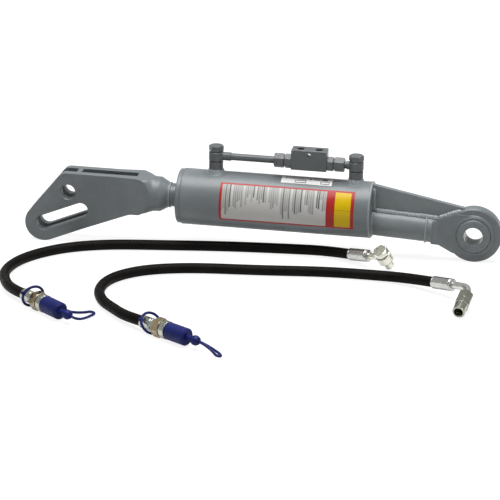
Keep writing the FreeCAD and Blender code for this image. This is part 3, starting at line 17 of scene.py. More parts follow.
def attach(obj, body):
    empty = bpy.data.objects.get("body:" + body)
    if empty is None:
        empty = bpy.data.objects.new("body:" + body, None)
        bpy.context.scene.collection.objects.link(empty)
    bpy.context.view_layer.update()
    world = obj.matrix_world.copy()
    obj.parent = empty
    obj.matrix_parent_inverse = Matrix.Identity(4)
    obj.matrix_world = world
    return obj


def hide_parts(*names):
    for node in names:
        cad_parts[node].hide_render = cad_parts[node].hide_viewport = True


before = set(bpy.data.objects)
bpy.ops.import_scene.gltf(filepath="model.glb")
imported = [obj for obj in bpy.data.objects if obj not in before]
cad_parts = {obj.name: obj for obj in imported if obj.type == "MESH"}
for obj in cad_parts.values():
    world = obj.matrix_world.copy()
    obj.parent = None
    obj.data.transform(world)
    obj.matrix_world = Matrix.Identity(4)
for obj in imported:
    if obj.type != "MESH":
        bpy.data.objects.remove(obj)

LOG = logging.getLogger("lift_arm")
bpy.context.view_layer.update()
MM = 0.001
Point = tuple[float, float, float]
Colour = tuple[float, float, float]
Box = tuple[float, float, float, float]
Node = bpy.types.Node
Socket = bpy.types.NodeSocket
Material = bpy.types.Material
Piece = bpy.types.Object
Outlets = bpy.types.bpy_prop_collection


# Surfaces


class Axis(Enum):
    """A direction that a section is measured from."""

    UP = (0.0, 0.0, 1.0)
    ACROSS = (0.0, 1.0, 0.0)


def unit(vectors: np.ndarray) -> np.ndarray:
    """Scales each row to length 1."""
    return vectors / np.linalg.norm(vectors, axis=-1, keepdims=True)


def circle(count: int) -> np.ndarray:
    """Spreads angles evenly round a full turn."""
    return np.linspace(0, 2 * math.pi, count, endpoint=False)


def ease(share: np.ndarray) -> np.ndarray:
    """Smooth step, 3 t^2 - 2 t^3, with t held from 0 to 1."""
    held = np.clip(share, 0.0, 1.0)
    return held**2 * (3 - 2 * held)


def square_to(line: np.ndarray, reference: Axis = Axis.UP) -> tuple[np.ndarray, np.ndarray]:
    """Gives side, the line crossed with the reference, and rise, side crossed with the line."""
    side = unit(np.cross(line, np.array(reference.value)))
    return side, np.cross(side, line)


def rings(
    path: np.ndarray, line: np.ndarray, radii: np.ndarray, sides: int, reference: Axis = Axis.UP
) -> np.ndarray:
    """Puts a circle round each point of a path: point + radius (cos a * side + sin a * rise).

    Args:
        path: Points of the centre line, shaped (n, 3).
        line: Direction at each point, or one direction for all.
        radii: One radius per point, or one per point and side.
        sides: Number of points round each ring.
        reference: Direction that is never parallel to the path.

    Returns:
        A grid of points shaped (n, sides, 3).
    """
    side, rise = square_to(line, reference)
    angles = circle(sides)[:, None]
    ring = np.cos(angles) * side[..., None, :] + np.sin(angles) * rise[..., None, :]
    return path[:, None, :] + radii.reshape(len(path), -1, 1) * ring


def swept(
    path: np.ndarray, radii: np.ndarray, sides: int, reference: Axis = Axis.UP
) -> np.ndarray:
    """Carries a circle along a path, square to the path's own direction."""
    return rings(path, unit(np.gradient(path, axis=0)), radii, sides, reference)


def lathed(
    origin: Point, axis: Point, stations: np.ndarray, radii: np.ndarray, sides: int
) -> np.ndarray:
    """Turns a profile of stations and radii about an axis that starts at the origin."""
    line = unit(np.array(axis, dtype=float))
    return rings(np.array(origin) + stations[:, None] * line, line, radii, sides)


def hoop(
    centre: Point,
    axis: Point,
    radius: float,
    bead: np.ndarray | float,
    around: np.ndarray,
    sides: int = 10,
) -> np.ndarray:
    """Bends a round bead into a hoop about an axis.

    A point is centre + (radius + bead cos b) (cos a * side + sin a * rise) + bead sin b * axis.

    Args:
        centre: Middle of the hoop.
        axis: Direction that it goes round.
        radius: Radius of the bead's centre line.
        bead: The bead's own radius, or one for each angle.
        around: Angles a.
        sides: Number of angles b.

    Returns:
        A grid of points shaped (angles, sides, 3).
    """
    line = unit(np.array(axis, dtype=float))
    side, rise = square_to(line)
    turn, bend = np.meshgrid(around, circle(sides), indexing="ij")
    size = np.broadcast_to(bead, around.shape)[:, None]
    flat = np.cos(turn)[..., None] * side + np.sin(turn)[..., None] * rise
    reach = (radius + size * np.cos(bend))[..., None]
    return np.array(centre) + reach * flat + (size * np.sin(bend))[..., None] * line


@dataclass(frozen=True)
class Run:
    """A stretch of forging that changes from a round section to a square one, in mm."""

    stations: tuple[float, float, int]
    round_at: float
    length: float
    width: float
    widening: float
    height: float
    rising: float
    squaring: float

    def grid(self, origin: Point, axis: Point) -> np.ndarray:
        """Stacks rounded rectangles along a line that lies in the arm's middle plane.

        At angle a the edge is (|cos a / width|^n + |sin a / height|^n)^(-1/n) from the line.
        Width, height and the power n, which is 2 for the round end, change by a smooth step.

        Args:
            origin: Where station 0 lies.
            axis: Direction of the stations.

        Returns:
            A grid of points shaped (stations, 120, 3).
        """
        stations = np.linspace(*self.stations)
        step = ease((self.round_at - stations) / self.length)[:, None]
        power = 2.0 + self.squaring * step**2
        angles = circle(120)[None, :]
        across = np.abs(np.cos(angles) / (self.width + self.widening * step)) ** power
        upward = np.abs(np.sin(angles) / (self.height + self.rising * step)) ** power
        reach = ((across + upward) ** (-1.0 / power))[..., None]
        line, side = unit(np.array(axis)), np.array(Axis.ACROSS.value)
        rise = np.cross(line, side)
        ring = reach * (np.cos(angles)[..., None] * side + np.sin(angles)[..., None] * rise)
        return np.array(origin) + stations[:, None, None] * line + ring


def smooth_line(name: str, route: np.ndarray) -> np.ndarray:
    """Reads points from a NURBS line that has the route as its control points.

    Args:
        name: Name for the helper curve.
        route: Control points in metres.

    Returns:
        Points along the smooth line, shaped (n, 3).
    """
    curve = bpy.data.curves.new(name + "_line", "CURVE")
    curve.dimensions = "3D"
    curve.resolution_u = 16
    spline = curve.splines.new("NURBS")
    spline.points.add(len(route) - 1)
    spline.points.foreach_set("co", np.column_stack([route, np.ones(len(route))]).ravel())
    spline.order_u = 3
    spline.use_endpoint_u = True
    holder = bpy.data.objects.new(name + "_line", curve)
    mesh = bpy.data.meshes.new_from_object(holder)
    points = np.empty(len(mesh.vertices) * 3)
    mesh.vertices.foreach_get("co", points)
    bpy.data.objects.remove(holder)
    bpy.data.curves.remove(curve)
    bpy.data.meshes.remove(mesh)
    return points.reshape(-1, 3)


def line_length(path: np.ndarray) -> float:
    """Adds up the steps of a line."""
    return float(np.linalg.norm(np.diff(path, axis=0), axis=1).sum())


def signed_volume(mesh: bpy.types.Mesh) -> float:
    """Adds up the tetrahedra from the origin to each triangle: above 0 if faces point out.

    Args:
        mesh: A closed mesh.

    Returns:
        Its volume, below 0 when it is inside out.
    """
    mesh.calc_loop_triangles()
    corners = np.empty(len(mesh.loop_triangles) * 3, dtype=np.int32)
    mesh.loop_triangles.foreach_get("vertices", corners)
    points = np.empty(len(mesh.vertices) * 3)
    mesh.vertices.foreach_get("co", points)
    a, b, c = np.moveaxis(points.reshape(-1, 3)[corners.reshape(-1, 3)], 1, 0)
    return float(np.einsum("ij,ij->i", a, np.cross(b, c)).sum() / 6)


def sheet_mesh(
    name: str,
    grid: np.ndarray,
    round_rows: bool = False,
    uv_size: tuple[float, float] | None = None,
) -> Piece:
    """Joins a grid of points, row by row, into a mesh of quads with smooth shading.

    Args:
        name: The piece's name.
        grid: Points in metres, shaped (rows, columns, 3), whose last column joins the first.
        round_rows: Whether the last row joins the first, or one face closes each end.
        uv_size: Length of the UV map along the rows and the columns, if it gets one.

    Returns:
        The new object, linked to the scene, with its faces pointing outwards.
    """
    rows, columns = grid.shape[:2]
    row_steps = np.arange(rows if round_rows else rows - 1)
    row, column = np.meshgrid(row_steps, np.arange(columns), indexing="ij")
    corner_rows = np.stack([row, row, row + 1, row + 1], axis=-1).reshape(-1, 4)
    corner_columns = np.stack([column, column + 1, column + 1, column], axis=-1).reshape(-1, 4)
    faces = ((corner_rows % rows) * columns + corner_columns % columns).tolist()
    if not round_rows:
        faces.append(list(range(columns))[::-1])
        faces.append(list(range((rows - 1) * columns, rows * columns)))
    mesh = bpy.data.meshes.new(name)
    mesh.from_pydata(grid.reshape(-1, 3).tolist(), [], faces)
    if uv_size is not None:
        u = corner_rows / max(rows - 1, 1) * uv_size[0]
        v = corner_columns / columns * uv_size[1]
        flat = np.zeros((len(mesh.loops), 2))
        flat[: u.size] = np.stack([u, v], axis=-1).reshape(-1, 2)
        mesh.uv_layers.new(name="surface").data.foreach_set("uv", flat.ravel())
    if signed_volume(mesh) < 0:
        mesh.flip_normals()
    mesh.polygons.foreach_set("use_smooth", np.ones(len(mesh.polygons), dtype=bool))
    mesh.set_sharp_from_angle(angle=math.radians(40))
    mesh.update()
    piece = bpy.data.objects.new(name, mesh)
    bpy.context.scene.collection.objects.link(piece)
    return piece


# Where the arm lies


@dataclass(frozen=True)
class Stance:
    """How the arm leans on its lobe and eye, and where its own origin then lies, in mm."""

    lean: float = 1.2857215
    shift_x: float = -330.9254
    shift_z: float = 91.0201

    def place(self, points: np.ndarray) -> np.ndarray:
        """Turns arm points about Y by the lean, shifts them and gives metres.

        Args:
            points: Points in the arm's own frame, in mm.

        Returns:
            x cos + z sin + shift, y, z cos - x sin + shift, in metres.
        """
        angle = math.radians(self.lean)
        x, y, z = points[..., 0], points[..., 1], points[..., 2]
        turned_x = x * math.cos(angle) + z * math.sin(angle) + self.shift_x
        turned_z = z * math.cos(angle) - x * math.sin(angle) + self.shift_z
        return np.stack([turned_x, y, turned_z], axis=-1) * MM


@dataclass(frozen=True)
class RearEnd:
    """Where the eye lies in the arm's own frame, in mm, and how its bar slopes to the tube."""

    eye: Point = (692.0, 0.0, -28.5)
    tilt: float = math.radians(2.75)
    bar_radius: float = 23.0

    @property
    def back(self) -> Point:
        """Direction from the eye to the tube."""
        return (-math.cos(self.tilt), 0.0, math.sin(self.tilt))

    def along(self, distance: float) -> Point:
        """Point of the bar's line at a distance from the eye."""
        return tuple(start + step * distance for start, step in zip(self.eye, self.back))


STANCE = Stance()
REAR = RearEnd()


# Shader helpers


class Shading:
    """Adds nodes to a tree and links them by name."""

    def __init__(self, tree: bpy.types.NodeTree) -> None:
        """Keeps the tree that the nodes go into."""
        self.tree = tree

    def wire(self, node: Node, inputs: dict) -> None:
        """Sets inputs of a node.

        Args:
            node: The node.
            inputs: Value or source socket for each input, by name or number.
        """
        for key, value in inputs.items():
            if isinstance(value, Socket):
                self.tree.links.new(value, node.inputs[key])
            else:
                node.inputs[key].default_value = value

    def add(self, kind: str, inputs: dict | None = None, **settings: object) -> Node:
        """Adds one node.

        Args:
            kind: The node's type.
            inputs: Value or source socket for each input, by name or number.
            **settings: Values for the node's own properties.

        Returns:
            The new node.
        """
        node = self.tree.nodes.new(kind)
        for key, value in settings.items():
            setattr(node, key, value)
        self.wire(node, inputs or {})
        return node

    def place(self) -> Socket:
        """Gives the Object coordinates."""
        return self.add("ShaderNodeTexCoord").outputs["Object"]

    def noise(self, place: object, scale: object, detail: float = 2.0) -> Socket:
        """Gives the value of a noise."""
        inputs = {"Vector": place, "Scale": scale, "Detail": detail}
        return self.add("ShaderNodeTexNoise", inputs).outputs[0]

    def blend(self, share: object, first: object, second: object) -> Socket:
        """Mixes two colours by a share from 0 to 1."""
        inputs = {0: share, 6: first, 7: second}
        return self.add("ShaderNodeMix", inputs, data_type="RGBA").outputs[2]

    def sums(self, operation: str, first: object, second: object = 0.0) -> Socket:
        """Works out one sum of two numbers or sockets."""
        return self.add("ShaderNodeMath", {0: first, 1: second}, operation=operation).outputs[0]

    def times(self, *values: object) -> Socket:
        """Multiplies two or more numbers or sockets."""
        product = self.sums("MULTIPLY", values[0], values[1])
        return self.times(product, *values[2:]) if values[2:] else product

    def spread(self, value: object, low: float, high: float, first: float, last: float) -> Socket:
        """Maps a value from one range to another, held inside it."""
        inputs = {0: value, 1: low, 2: high, 3: first, 4: last}
        return self.add("ShaderNodeMapRange", inputs).outputs[0]


def new_group(
    name: str, label: str, amount: float, outputs: dict[str, str]
) -> tuple[bpy.types.NodeTree, Shading, Socket, Node]:
    """Starts a shader node group with one input.

    Args:
        name: The group's name.
        label: The input's name.
        amount: The input's default.
        outputs: Socket type for each output.

    Returns:
        The tree, its Shading helper, the input's socket and the output node.
    """
    tree = bpy.data.node_groups.new(name, "ShaderNodeTree")
    inlet = tree.interface.new_socket(label, in_out="INPUT", socket_type="NodeSocketFloat")
    inlet.default_value = amount
    for output, kind in outputs.items():
        tree.interface.new_socket(output, in_out="OUTPUT", socket_type=kind)
    shade = Shading(tree)
    return tree, shade, shade.add("NodeGroupInput").outputs[0], shade.add("NodeGroupOutput")


def uneven_tone_group() -> bpy.types.NodeTree:
    """Two sizes of noise added up, for patchy colour and gloss.

    Returns:
        The group.
    """
    outputs = {"Tone": "NodeSocketFloat", "Fine": "NodeSocketFloat"}
    tree, shade, scale, outlet = new_group("uneven_tone", "Scale", 20.0, outputs)
    place = shade.place()
    broad = shade.noise(place, scale, 4.0)
    fine = shade.noise(place, shade.times(scale, 9.0), 3.0)
    both = shade.sums("ADD", broad, shade.times(fine, 0.35))
    shade.wire(outlet, {"Tone": shade.spread(both, 0.5, 0.85, 0.0, 1.0), "Fine": fine})
    return tree


def soft_edge_group() -> bpy.types.NodeTree:
    """Rounds sharp edges in the shading and gives a mask of where they are.

    Returns:
        The group.
    """
    outputs = {"Normal": "NodeSocketVector", "Edge": "NodeSocketFloat"}
    tree, shade, radius, outlet = new_group("soft_edge", "Radius", 0.001, outputs)
    rounded = shade.add("ShaderNodeBevel", {"Radius": radius}, samples=6).outputs[0]
    flat = shade.add("ShaderNodeNewGeometry").outputs["Normal"]
    facing = shade.add("ShaderNodeVectorMath", {0: rounded, 1: flat}, operation="DOT_PRODUCT")
    away = shade.sums("SUBTRACT", 1.0, facing.outputs["Value"])
    shade.wire(outlet, {"Normal": rounded, "Edge": shade.spread(away, 0.01, 0.12, 0.0, 1.0)})
    return tree


def sprayed_skin_group() -> bpy.types.NodeTree:
    """The slightly wavy skin of sprayed paint, with a few nibs of dust under it.

    Returns:
        The group.
    """
    outputs = {"Height": "NodeSocketFloat"}
    tree, shade, scale, outlet = new_group("sprayed_skin", "Scale", 400.0, outputs)
    place = shade.place()
    peel = shade.noise(place, scale)
    wave = shade.noise(place, shade.times(scale, 0.15))
    cells = shade.add("ShaderNodeTexVoronoi", {"Vector": place, "Scale": shade.times(scale, 0.4)})
    nibs = shade.spread(cells.outputs["Distance"], 0.0, 0.12, 1.0, 0.0)
    total = shade.sums("ADD", peel, shade.times(wave, 2.0))
    shade.wire(outlet, {"Height": shade.sums("ADD", total, shade.times(nibs, 0.5))})
    return tree


def long_grain_group() -> bpy.types.NodeTree:
    """Fine parallel lines of machining, across the arm's length.

    Returns:
        The group.
    """
    outputs = {"Height": "NodeSocketFloat"}
    tree, shade, scale, outlet = new_group("long_grain", "Scale", 60.0, outputs)
    stretch = {"Vector": shade.place(), "Scale": (24.0, 1.0, 1.0)}
    drawn = shade.add("ShaderNodeMapping", stretch).outputs[0]
    shade.wire(outlet, {"Height": shade.noise(drawn, scale, 4.0)})
    return tree


GROUPS = {
    "tone": uneven_tone_group(),
    "edge": soft_edge_group(),
    "skin": sprayed_skin_group(),
    "grain": long_grain_group(),
}


def tint(colour: Colour, factor: float = 1.0) -> tuple[float, float, float, float]:
    """Makes a colour darker or lighter by a factor, and fully opaque."""
    return (*(channel * factor for channel in colour), 1.0)


# Finishes


class Finish:
    """Starts a material: a Principled shader, its output and the shared groups."""

    name: str = "finish"

    def begin(self) -> tuple[Material, Shading, Node]:
        """Makes the empty material.

        Returns:
            The material, its Shading helper and its Principled node.
        """
        material = bpy.data.materials.new(self.name)
        material.use_nodes = True
        material.node_tree.nodes.clear()
        shade = Shading(material.node_tree)
        shader = shade.add("ShaderNodeBsdfPrincipled")
        shade.add("ShaderNodeOutputMaterial", {"Surface": shader.outputs[0]})
        return material, shade, shader

    def group(self, shade: Shading, key: str, amount: float) -> Outlets:
        """Places one shared group, sets its one input and gives its outputs."""
        return shade.add("ShaderNodeGroup", {0: amount}, node_tree=GROUPS[key]).outputs

    def gloss(self, shade: Shading, tone: Outlets, low: float, high: float) -> Socket:
        """Roughness that follows the finer noise of the uneven tone."""
        return shade.spread(tone["Fine"], 0.3, 0.7, low, high)


@dataclass(frozen=True)
class Coat(Finish):
    """A patchy, slightly uneven surface with lighter rubbed edges."""

    name: str = "coat"
    colour: Colour = (0.5, 0.5, 0.5)
    roughness: float = 0.4
    relief: float = 0.1
    rub: float = 0.25
    worn: float = 1.7
    grain: float = 420.0
    texture: str = "skin"
    patches: float = 14.0
    patch_share: float = 1.0
    darkest: float = 1.0
    lightest: float = 1.0
    tarnish: Colour | None = None
    edge: float = 0.001
    depth: float = 0.0002
    smoother: float = 0.06
    rougher: float = 0.1
    metallic: float = 0.0
    specular: float = 0.5
    lacquer: float = 0.0

    def material(self) -> Material:
        """Builds the surface.

        Returns:
            The material.
        """
        material, shade, shader = self.begin()
        tone = self.group(shade, "tone", self.patches)
        edge = self.group(shade, "edge", self.edge)
        texture = self.group(shade, self.texture, self.grain)
        second = tint(self.tarnish) if self.tarnish else tint(self.colour, self.lightest)
        patchy = shade.times(tone["Tone"], self.patch_share)
        face = shade.blend(patchy, tint(self.colour, self.darkest), second)
        rubbed = shade.times(edge["Edge"], self.rub)
        low, high = self.roughness - self.smoother, self.roughness + self.rougher
        raised = {"Strength": self.relief, "Distance": self.depth}
        raised |= {"Height": texture[0], "Normal": edge["Normal"]}
        shade.wire(shader, {
            "Base Color": shade.blend(rubbed, face, tint(self.colour, self.worn)),
            "Roughness": self.gloss(shade, tone, low, high),
            "Normal": shade.add("ShaderNodeBump", raised).outputs[0],
            "Metallic": self.metallic,
            "Specular IOR Level": self.specular,
            "Coat Weight": self.lacquer,
            "Coat Roughness": 0.25,
        })
        return material


@dataclass(frozen=True)
class Paint(Coat):
    """Grey enamel sprayed over steel: patchy gloss, a wavy skin and lighter rubbed edges."""

    name: str = "grey_paint"
    colour: Colour = (0.166, 0.187, 0.194)
    roughness: float = 0.38
    relief: float = 0.12
    rub: float = 0.12
    darkest: float = 0.88
    lightest: float = 1.1
    edge: float = 0.0011
    depth: float = 0.0004
    rougher: float = 0.08
    specular: float = 0.35
    lacquer: float = 0.12


@dataclass(frozen=True)
class Metal(Coat):
    """Bare or plated metal with fine turning lines and a little tarnish."""

    name: str = "bare_steel"
    colour: Colour = (0.55, 0.55, 0.56)
    tarnish: Colour = (0.40, 0.38, 0.34)
    roughness: float = 0.3
    relief: float = 0.15
    rub: float = 0.5
    worn: float = 1.15
    grain: float = 60.0
    texture: str = "grain"
    patches: float = 45.0
    patch_share: float = 0.4
    edge: float = 0.0006
    smoother: float = 0.08
    metallic: float = 1.0


@dataclass(frozen=True)
class Polymer(Coat):
    """Moulded plastic or rubber with a faint pebbled skin."""

    name: str = "blue_plastic"
    colour: Colour = (0.0095, 0.0145, 0.105)
    roughness: float = 0.42
    worn: float = 1.8
    grain: float = 1500.0
    patches: float = 40.0
    darkest: float = 0.85
    lightest: float = 1.15
    edge: float = 0.0008
    specular: float = 0.15


@dataclass(frozen=True)
class RodChrome(Finish):
    """Hard chrome, with overspray on the short end that stays outside the closed cylinder."""

    name: str = "chromed_rod"
    colour: Colour = (0.62, 0.63, 0.65)
    overspray: Colour = (0.12, 0.135, 0.14)
    painted_to: float = -0.1412

    def material(self) -> Material:
        """Builds the chrome, painted where X is less than the cylinder's front face.

        Returns:
            The material.
        """
        material, shade, shader = self.begin()
        tone = self.group(shade, "tone", 30.0)
        along = shade.add("ShaderNodeSeparateXYZ", {0: shade.place()}).outputs[0]
        bare = shade.spread(along, self.painted_to, self.painted_to + 0.0006, 0.0, 1.0)
        chrome = shade.blend(tone["Tone"], tint(self.colour), tint(self.colour, 0.9))
        shade.wire(shader, {
            "Base Color": shade.blend(bare, tint(self.overspray), chrome),
            "Metallic": bare,
            "Roughness": shade.spread(bare, 0.0, 1.0, 0.36, 0.16),
        })
        return material


@dataclass(frozen=True)
class PlatedCoupler(Finish):
    """Zinc plated coupler: silver, with a yellow passivated hexagon part way along it."""

    name: str = "coupler_plate"
    origin: Point = (0.0, 0.0, 0.0)
    direction: Point = (1.0, 0.0, 0.0)
    silver: tuple[Colour, Colour] = ((0.46, 0.465, 0.42), (0.30, 0.305, 0.26))
    yellow: tuple[Colour, Colour] = ((0.44, 0.34, 0.20), (0.29, 0.21, 0.11))
    yellow_from: float = 0.0385
    yellow_to: float = 0.0495

    def material(self) -> Material:
        """Builds the plating, coloured by the distance along the coupler's own line.

        Returns:
            The material.
        """
        material, shade, shader = self.begin()
        tone = self.group(shade, "tone", 60.0)
        edge = self.group(shade, "edge", 0.0006)
        away = {0: shade.place(), 1: self.origin}
        offset = shade.add("ShaderNodeVectorMath", away, operation="SUBTRACT").outputs[0]
        onto = {0: offset, 1: self.direction}
        along = shade.add("ShaderNodeVectorMath", onto, operation="DOT_PRODUCT").outputs["Value"]
        soft = 0.001
        after = shade.spread(along, self.yellow_from - soft, self.yellow_from + soft, 0.0, 1.0)
        before = shade.spread(along, self.yellow_to - soft, self.yellow_to + soft, 1.0, 0.0)
        silver, yellow = (
            shade.blend(tone["Tone"], tint(first), tint(second))
            for first, second in (self.silver, self.yellow)
        )
        shade.wire(shader, {
            "Base Color": shade.blend(shade.times(after, before), silver, yellow),
            "Roughness": self.gloss(shade, tone, 0.16, 0.34),
            "Normal": edge["Normal"],
            "Metallic": 1.0,
        })
        return material


@dataclass(frozen=True)
class HoseCover(Finish):
    """Black rubber hose cover with the print of the cloth that it was cured in."""

    name: str = "hose_rubber"
    colour: Colour = (0.0034, 0.0030, 0.0026)
    rib: float = 1300.0
    slant: float = 0.75

    def material(self) -> Material:
        """Builds the cover from the hose's own UV map, which is in metres.

        Returns:
            The material.
        """
        material, shade, shader = self.begin()
        tone = self.group(shade, "tone", 30.0)
        surface = shade.add("ShaderNodeUVMap", uv_map="surface").outputs[0]
        prints = []
        for turn in (self.slant, -self.slant):
            slanted = {"Vector": surface, "Rotation": (0.0, 0.0, turn)}
            turned = shade.add("ShaderNodeMapping", slanted).outputs[0]
            wave = shade.add("ShaderNodeTexWave", {"Vector": turned, "Scale": self.rib / 6.0})
            prints.append(wave.outputs["Fac"])
        cloth = {"Strength": 0.35, "Distance": 0.0003, "Height": shade.times(*prints)}
        shade.wire(shader, {
            "Base Color": shade.blend(tone["Tone"], tint(self.colour), tint(self.colour, 2.2)),
            "Roughness": self.gloss(shade, tone, 0.38, 0.58),
            "Normal": shade.add("ShaderNodeBump", cloth).outputs[0],
            "Specular IOR Level": 0.05,
        })
        return material


@dataclass(frozen=True)
class PrintedFilm(Finish):
    """Sticker film, coloured in plain areas across its UV map from 0 to 1 each way."""

    name: str = "sticker_film"
    border: Colour = (0.36, 0.022, 0.02)
    field: Colour = (0.50, 0.495, 0.475)
    panel: Colour | None = (0.60, 0.40, 0.004)
    rule: Colour = (0.07, 0.07, 0.07)
    field_box: Box = (0.018, 0.795, 0.045, 0.955)
    panel_box: Box = (0.858, 0.975, 0.05, 0.95)
    panel_seam: tuple[float, float] = (0.492, 0.502)
    frames: tuple[Box, ...] = ()
    frame_line: tuple[float, float] = (0.012, 0.08)
    columns: float = 9.0
    lines: float = 6.0
    specular: float = 0.2

    def inside(self, shade: Shading, u: Socket, v: Socket, box: Box) -> Socket:
        """Masks a box on the sticker.

        Args:
            shade: The material's helper.
            u: Socket with the distance along the sticker.
            v: Socket with the distance up the sticker.
            box: Lowest and highest u, then lowest and highest v.

        Returns:
            A socket that is 1 inside the box.
        """
        return shade.times(
            shade.sums("GREATER_THAN", u, box[0]),
            shade.sums("LESS_THAN", u, box[1]),
            shade.sums("GREATER_THAN", v, box[2]),
            shade.sums("LESS_THAN", v, box[3]),
        )

    def chance(self, shade: Shading, index: Socket, offset: float) -> Socket:
        """Gives each whole number its own fixed chance from 0 to 1."""
        shifted = {"W": shade.sums("ADD", index, offset)}
        return shade.add("ShaderNodeTexWhiteNoise", shifted, noise_dimensions="1D").outputs[0]

    def text(self, shade: Shading, u: Socket, v: Socket) -> Socket:
        """Masks columns of plain rules that hang from the top edge to uneven depths.

        The column's number is the whole part of u * columns and the rule's is the whole part
        of u * columns * lines; each number's chance gives its depth and its darkness.

        Args:
            shade: The material's helper.
            u: Socket with the distance along the sticker.
            v: Socket with the distance up the sticker.

        Returns:
            A socket with the darkness of the print from 0 to 1.
        """
        across = shade.times(u, self.columns / self.field_box[1])
        finer = shade.times(across, self.lines)
        column, rule = shade.sums("FLOOR", across), shade.sums("FLOOR", finer)
        gutter = shade.sums("GREATER_THAN", shade.sums("FRACT", across), 0.14)
        ruled = shade.sums("LESS_THAN", shade.sums("FRACT", finer), 0.62)
        deep = shade.times(self.chance(shade, column, 3.5), 0.42)
        uneven = shade.times(self.chance(shade, rule, 71.5), 0.3)
        foot = shade.sums("ADD", shade.sums("ADD", deep, uneven), 0.06)
        hung = shade.sums("GREATER_THAN", v, foot)
        bold = shade.sums("POWER", self.chance(shade, rule, 205.5), 2.5)
        dark = shade.spread(bold, 0.0, 1.0, 0.38, 0.95)
        grey = shade.sums("MAXIMUM", shade.times(dark, ruled), 0.2)
        return shade.times(gutter, hung, grey)

    def material(self) -> Material:
        """Builds the film with its border, field of ruled lines, empty frames and panel.

        Returns:
            The material.
        """
        material, shade, shader = self.begin()
        surface = shade.add("ShaderNodeUVMap", uv_map="surface").outputs[0]
        u, v = shade.add("ShaderNodeSeparateXYZ", {0: surface}).outputs[:2]
        field_mask = self.inside(shade, u, v, self.field_box)
        film = shade.blend(field_mask, tint(self.border), tint(self.field))
        film = shade.blend(shade.times(self.text(shade, u, v), field_mask), film, tint(self.rule))
        layers = []
        wide, high = self.frame_line
        for left, right, low, top in self.frames:
            layers.append(((left, right, low, top), tint(self.rule)))
            layers.append(((left + wide, right - wide, low + high, top - high), tint(self.field)))
        if self.panel is not None:
            layers.append((self.panel_box, tint(self.panel)))
            layers.append(((*self.panel_box[:2], *self.panel_seam), tint(self.panel, 0.45)))
        for box, colour in layers:
            film = shade.blend(self.inside(shade, u, v, box), film, colour)
        shade.wire(shader, {
            "Base Color": film,
            "Roughness": self.gloss(shade, self.group(shade, "tone", 60.0), 0.25, 0.38),
            "Specular IOR Level": self.specular,
        })
        return material


PAINT = Paint()
TUBE_PAINT = Paint(name="grey_paint_on_tube", colour=(0.152, 0.171, 0.178))
ROUGH_PAINT = Paint(
    name="grey_paint_on_forging", colour=(0.146, 0.164, 0.171), grain=260.0, relief=0.22, rub=0.3
)
# The arm's grey paint made lighter for the weld beads: the lighter colour is painted highlight.
WELD_HIGHLIGHT_PAINT = Paint(
    name="grey_paint_on_weld_painted_highlight", colour=(0.25, 0.278, 0.288), grain=900.0, relief=0.3,
    roughness=0.2, rub=0.1,
)
SMALL_PAINT = Paint(
    name="grey_paint_on_fittings", colour=(0.089, 0.098, 0.103), grain=800.0, relief=0.1, rub=0.4
)
BALL_PAINT = Paint(
    name="grey_paint_on_ball", colour=(0.15, 0.168, 0.175), grain=500.0, relief=0.08,
    roughness=0.3,
)
# Nearly black copy of the grey paint: painted shade for the gap at the gland's seam and the gaps at
# the banjo washers.
SEAM_SHADE_PAINT = Paint(
    name="painted_shade_in_seam", colour=(0.045, 0.05, 0.053), grain=800.0, relief=0.1, rub=0.0
)
CHROME = RodChrome()
STEEL = Metal()
ZINC = Metal(
    name="zinc_steel", colour=(0.49, 0.49, 0.475), tarnish=(0.34, 0.34, 0.32), roughness=0.24,
    relief=0.05,
)
BENT_ZINC = Metal(
    name="zinc_elbow", colour=(0.58, 0.58, 0.55), tarnish=(0.44, 0.44, 0.40), roughness=0.26,
    relief=0.05,
)
DULL_ZINC = Metal(
    name="dull_zinc", colour=(0.36, 0.365, 0.31), tarnish=(0.22, 0.225, 0.17), roughness=0.22,
    relief=0.05,
)
CRIMP = Metal(
    name="crimped_zinc", colour=(0.42, 0.44, 0.39), tarnish=(0.32, 0.33, 0.27), roughness=0.28,
    relief=0.05,
)
PALE_ZINC = Metal(
    name="pale_zinc", colour=(0.66, 0.66, 0.58), tarnish=(0.48, 0.47, 0.39), roughness=0.30,
    relief=0.06,
)
WASHER = Metal(
    name="dull_washer", colour=(0.20, 0.19, 0.12), tarnish=(0.12, 0.11, 0.07), roughness=0.4
)
HOSE = HoseCover()
BLUE = Polymer()
SEAL = Polymer(name="seal_plastic", colour=(0.03, 0.035, 0.05), roughness=0.5)
BLACK = Polymer(name="black_rubber", colour=(0.012, 0.012, 0.013), roughness=0.55)
MAIN_FILM = PrintedFilm()
SMALL_FILM = PrintedFilm(
    name="small_sticker_film",
    border=(0.74, 0.74, 0.73),
    field=(0.74, 0.74, 0.73),
    rule=(0.03, 0.03, 0.03),
    panel=None,
    field_box=(0.03, 0.97, 0.60, 0.94),
    columns=2.0,
    lines=3.0,
    frames=((0.27, 0.49, 0.12, 0.50), (0.77, 0.95, 0.12, 0.50)),
)


# Pieces


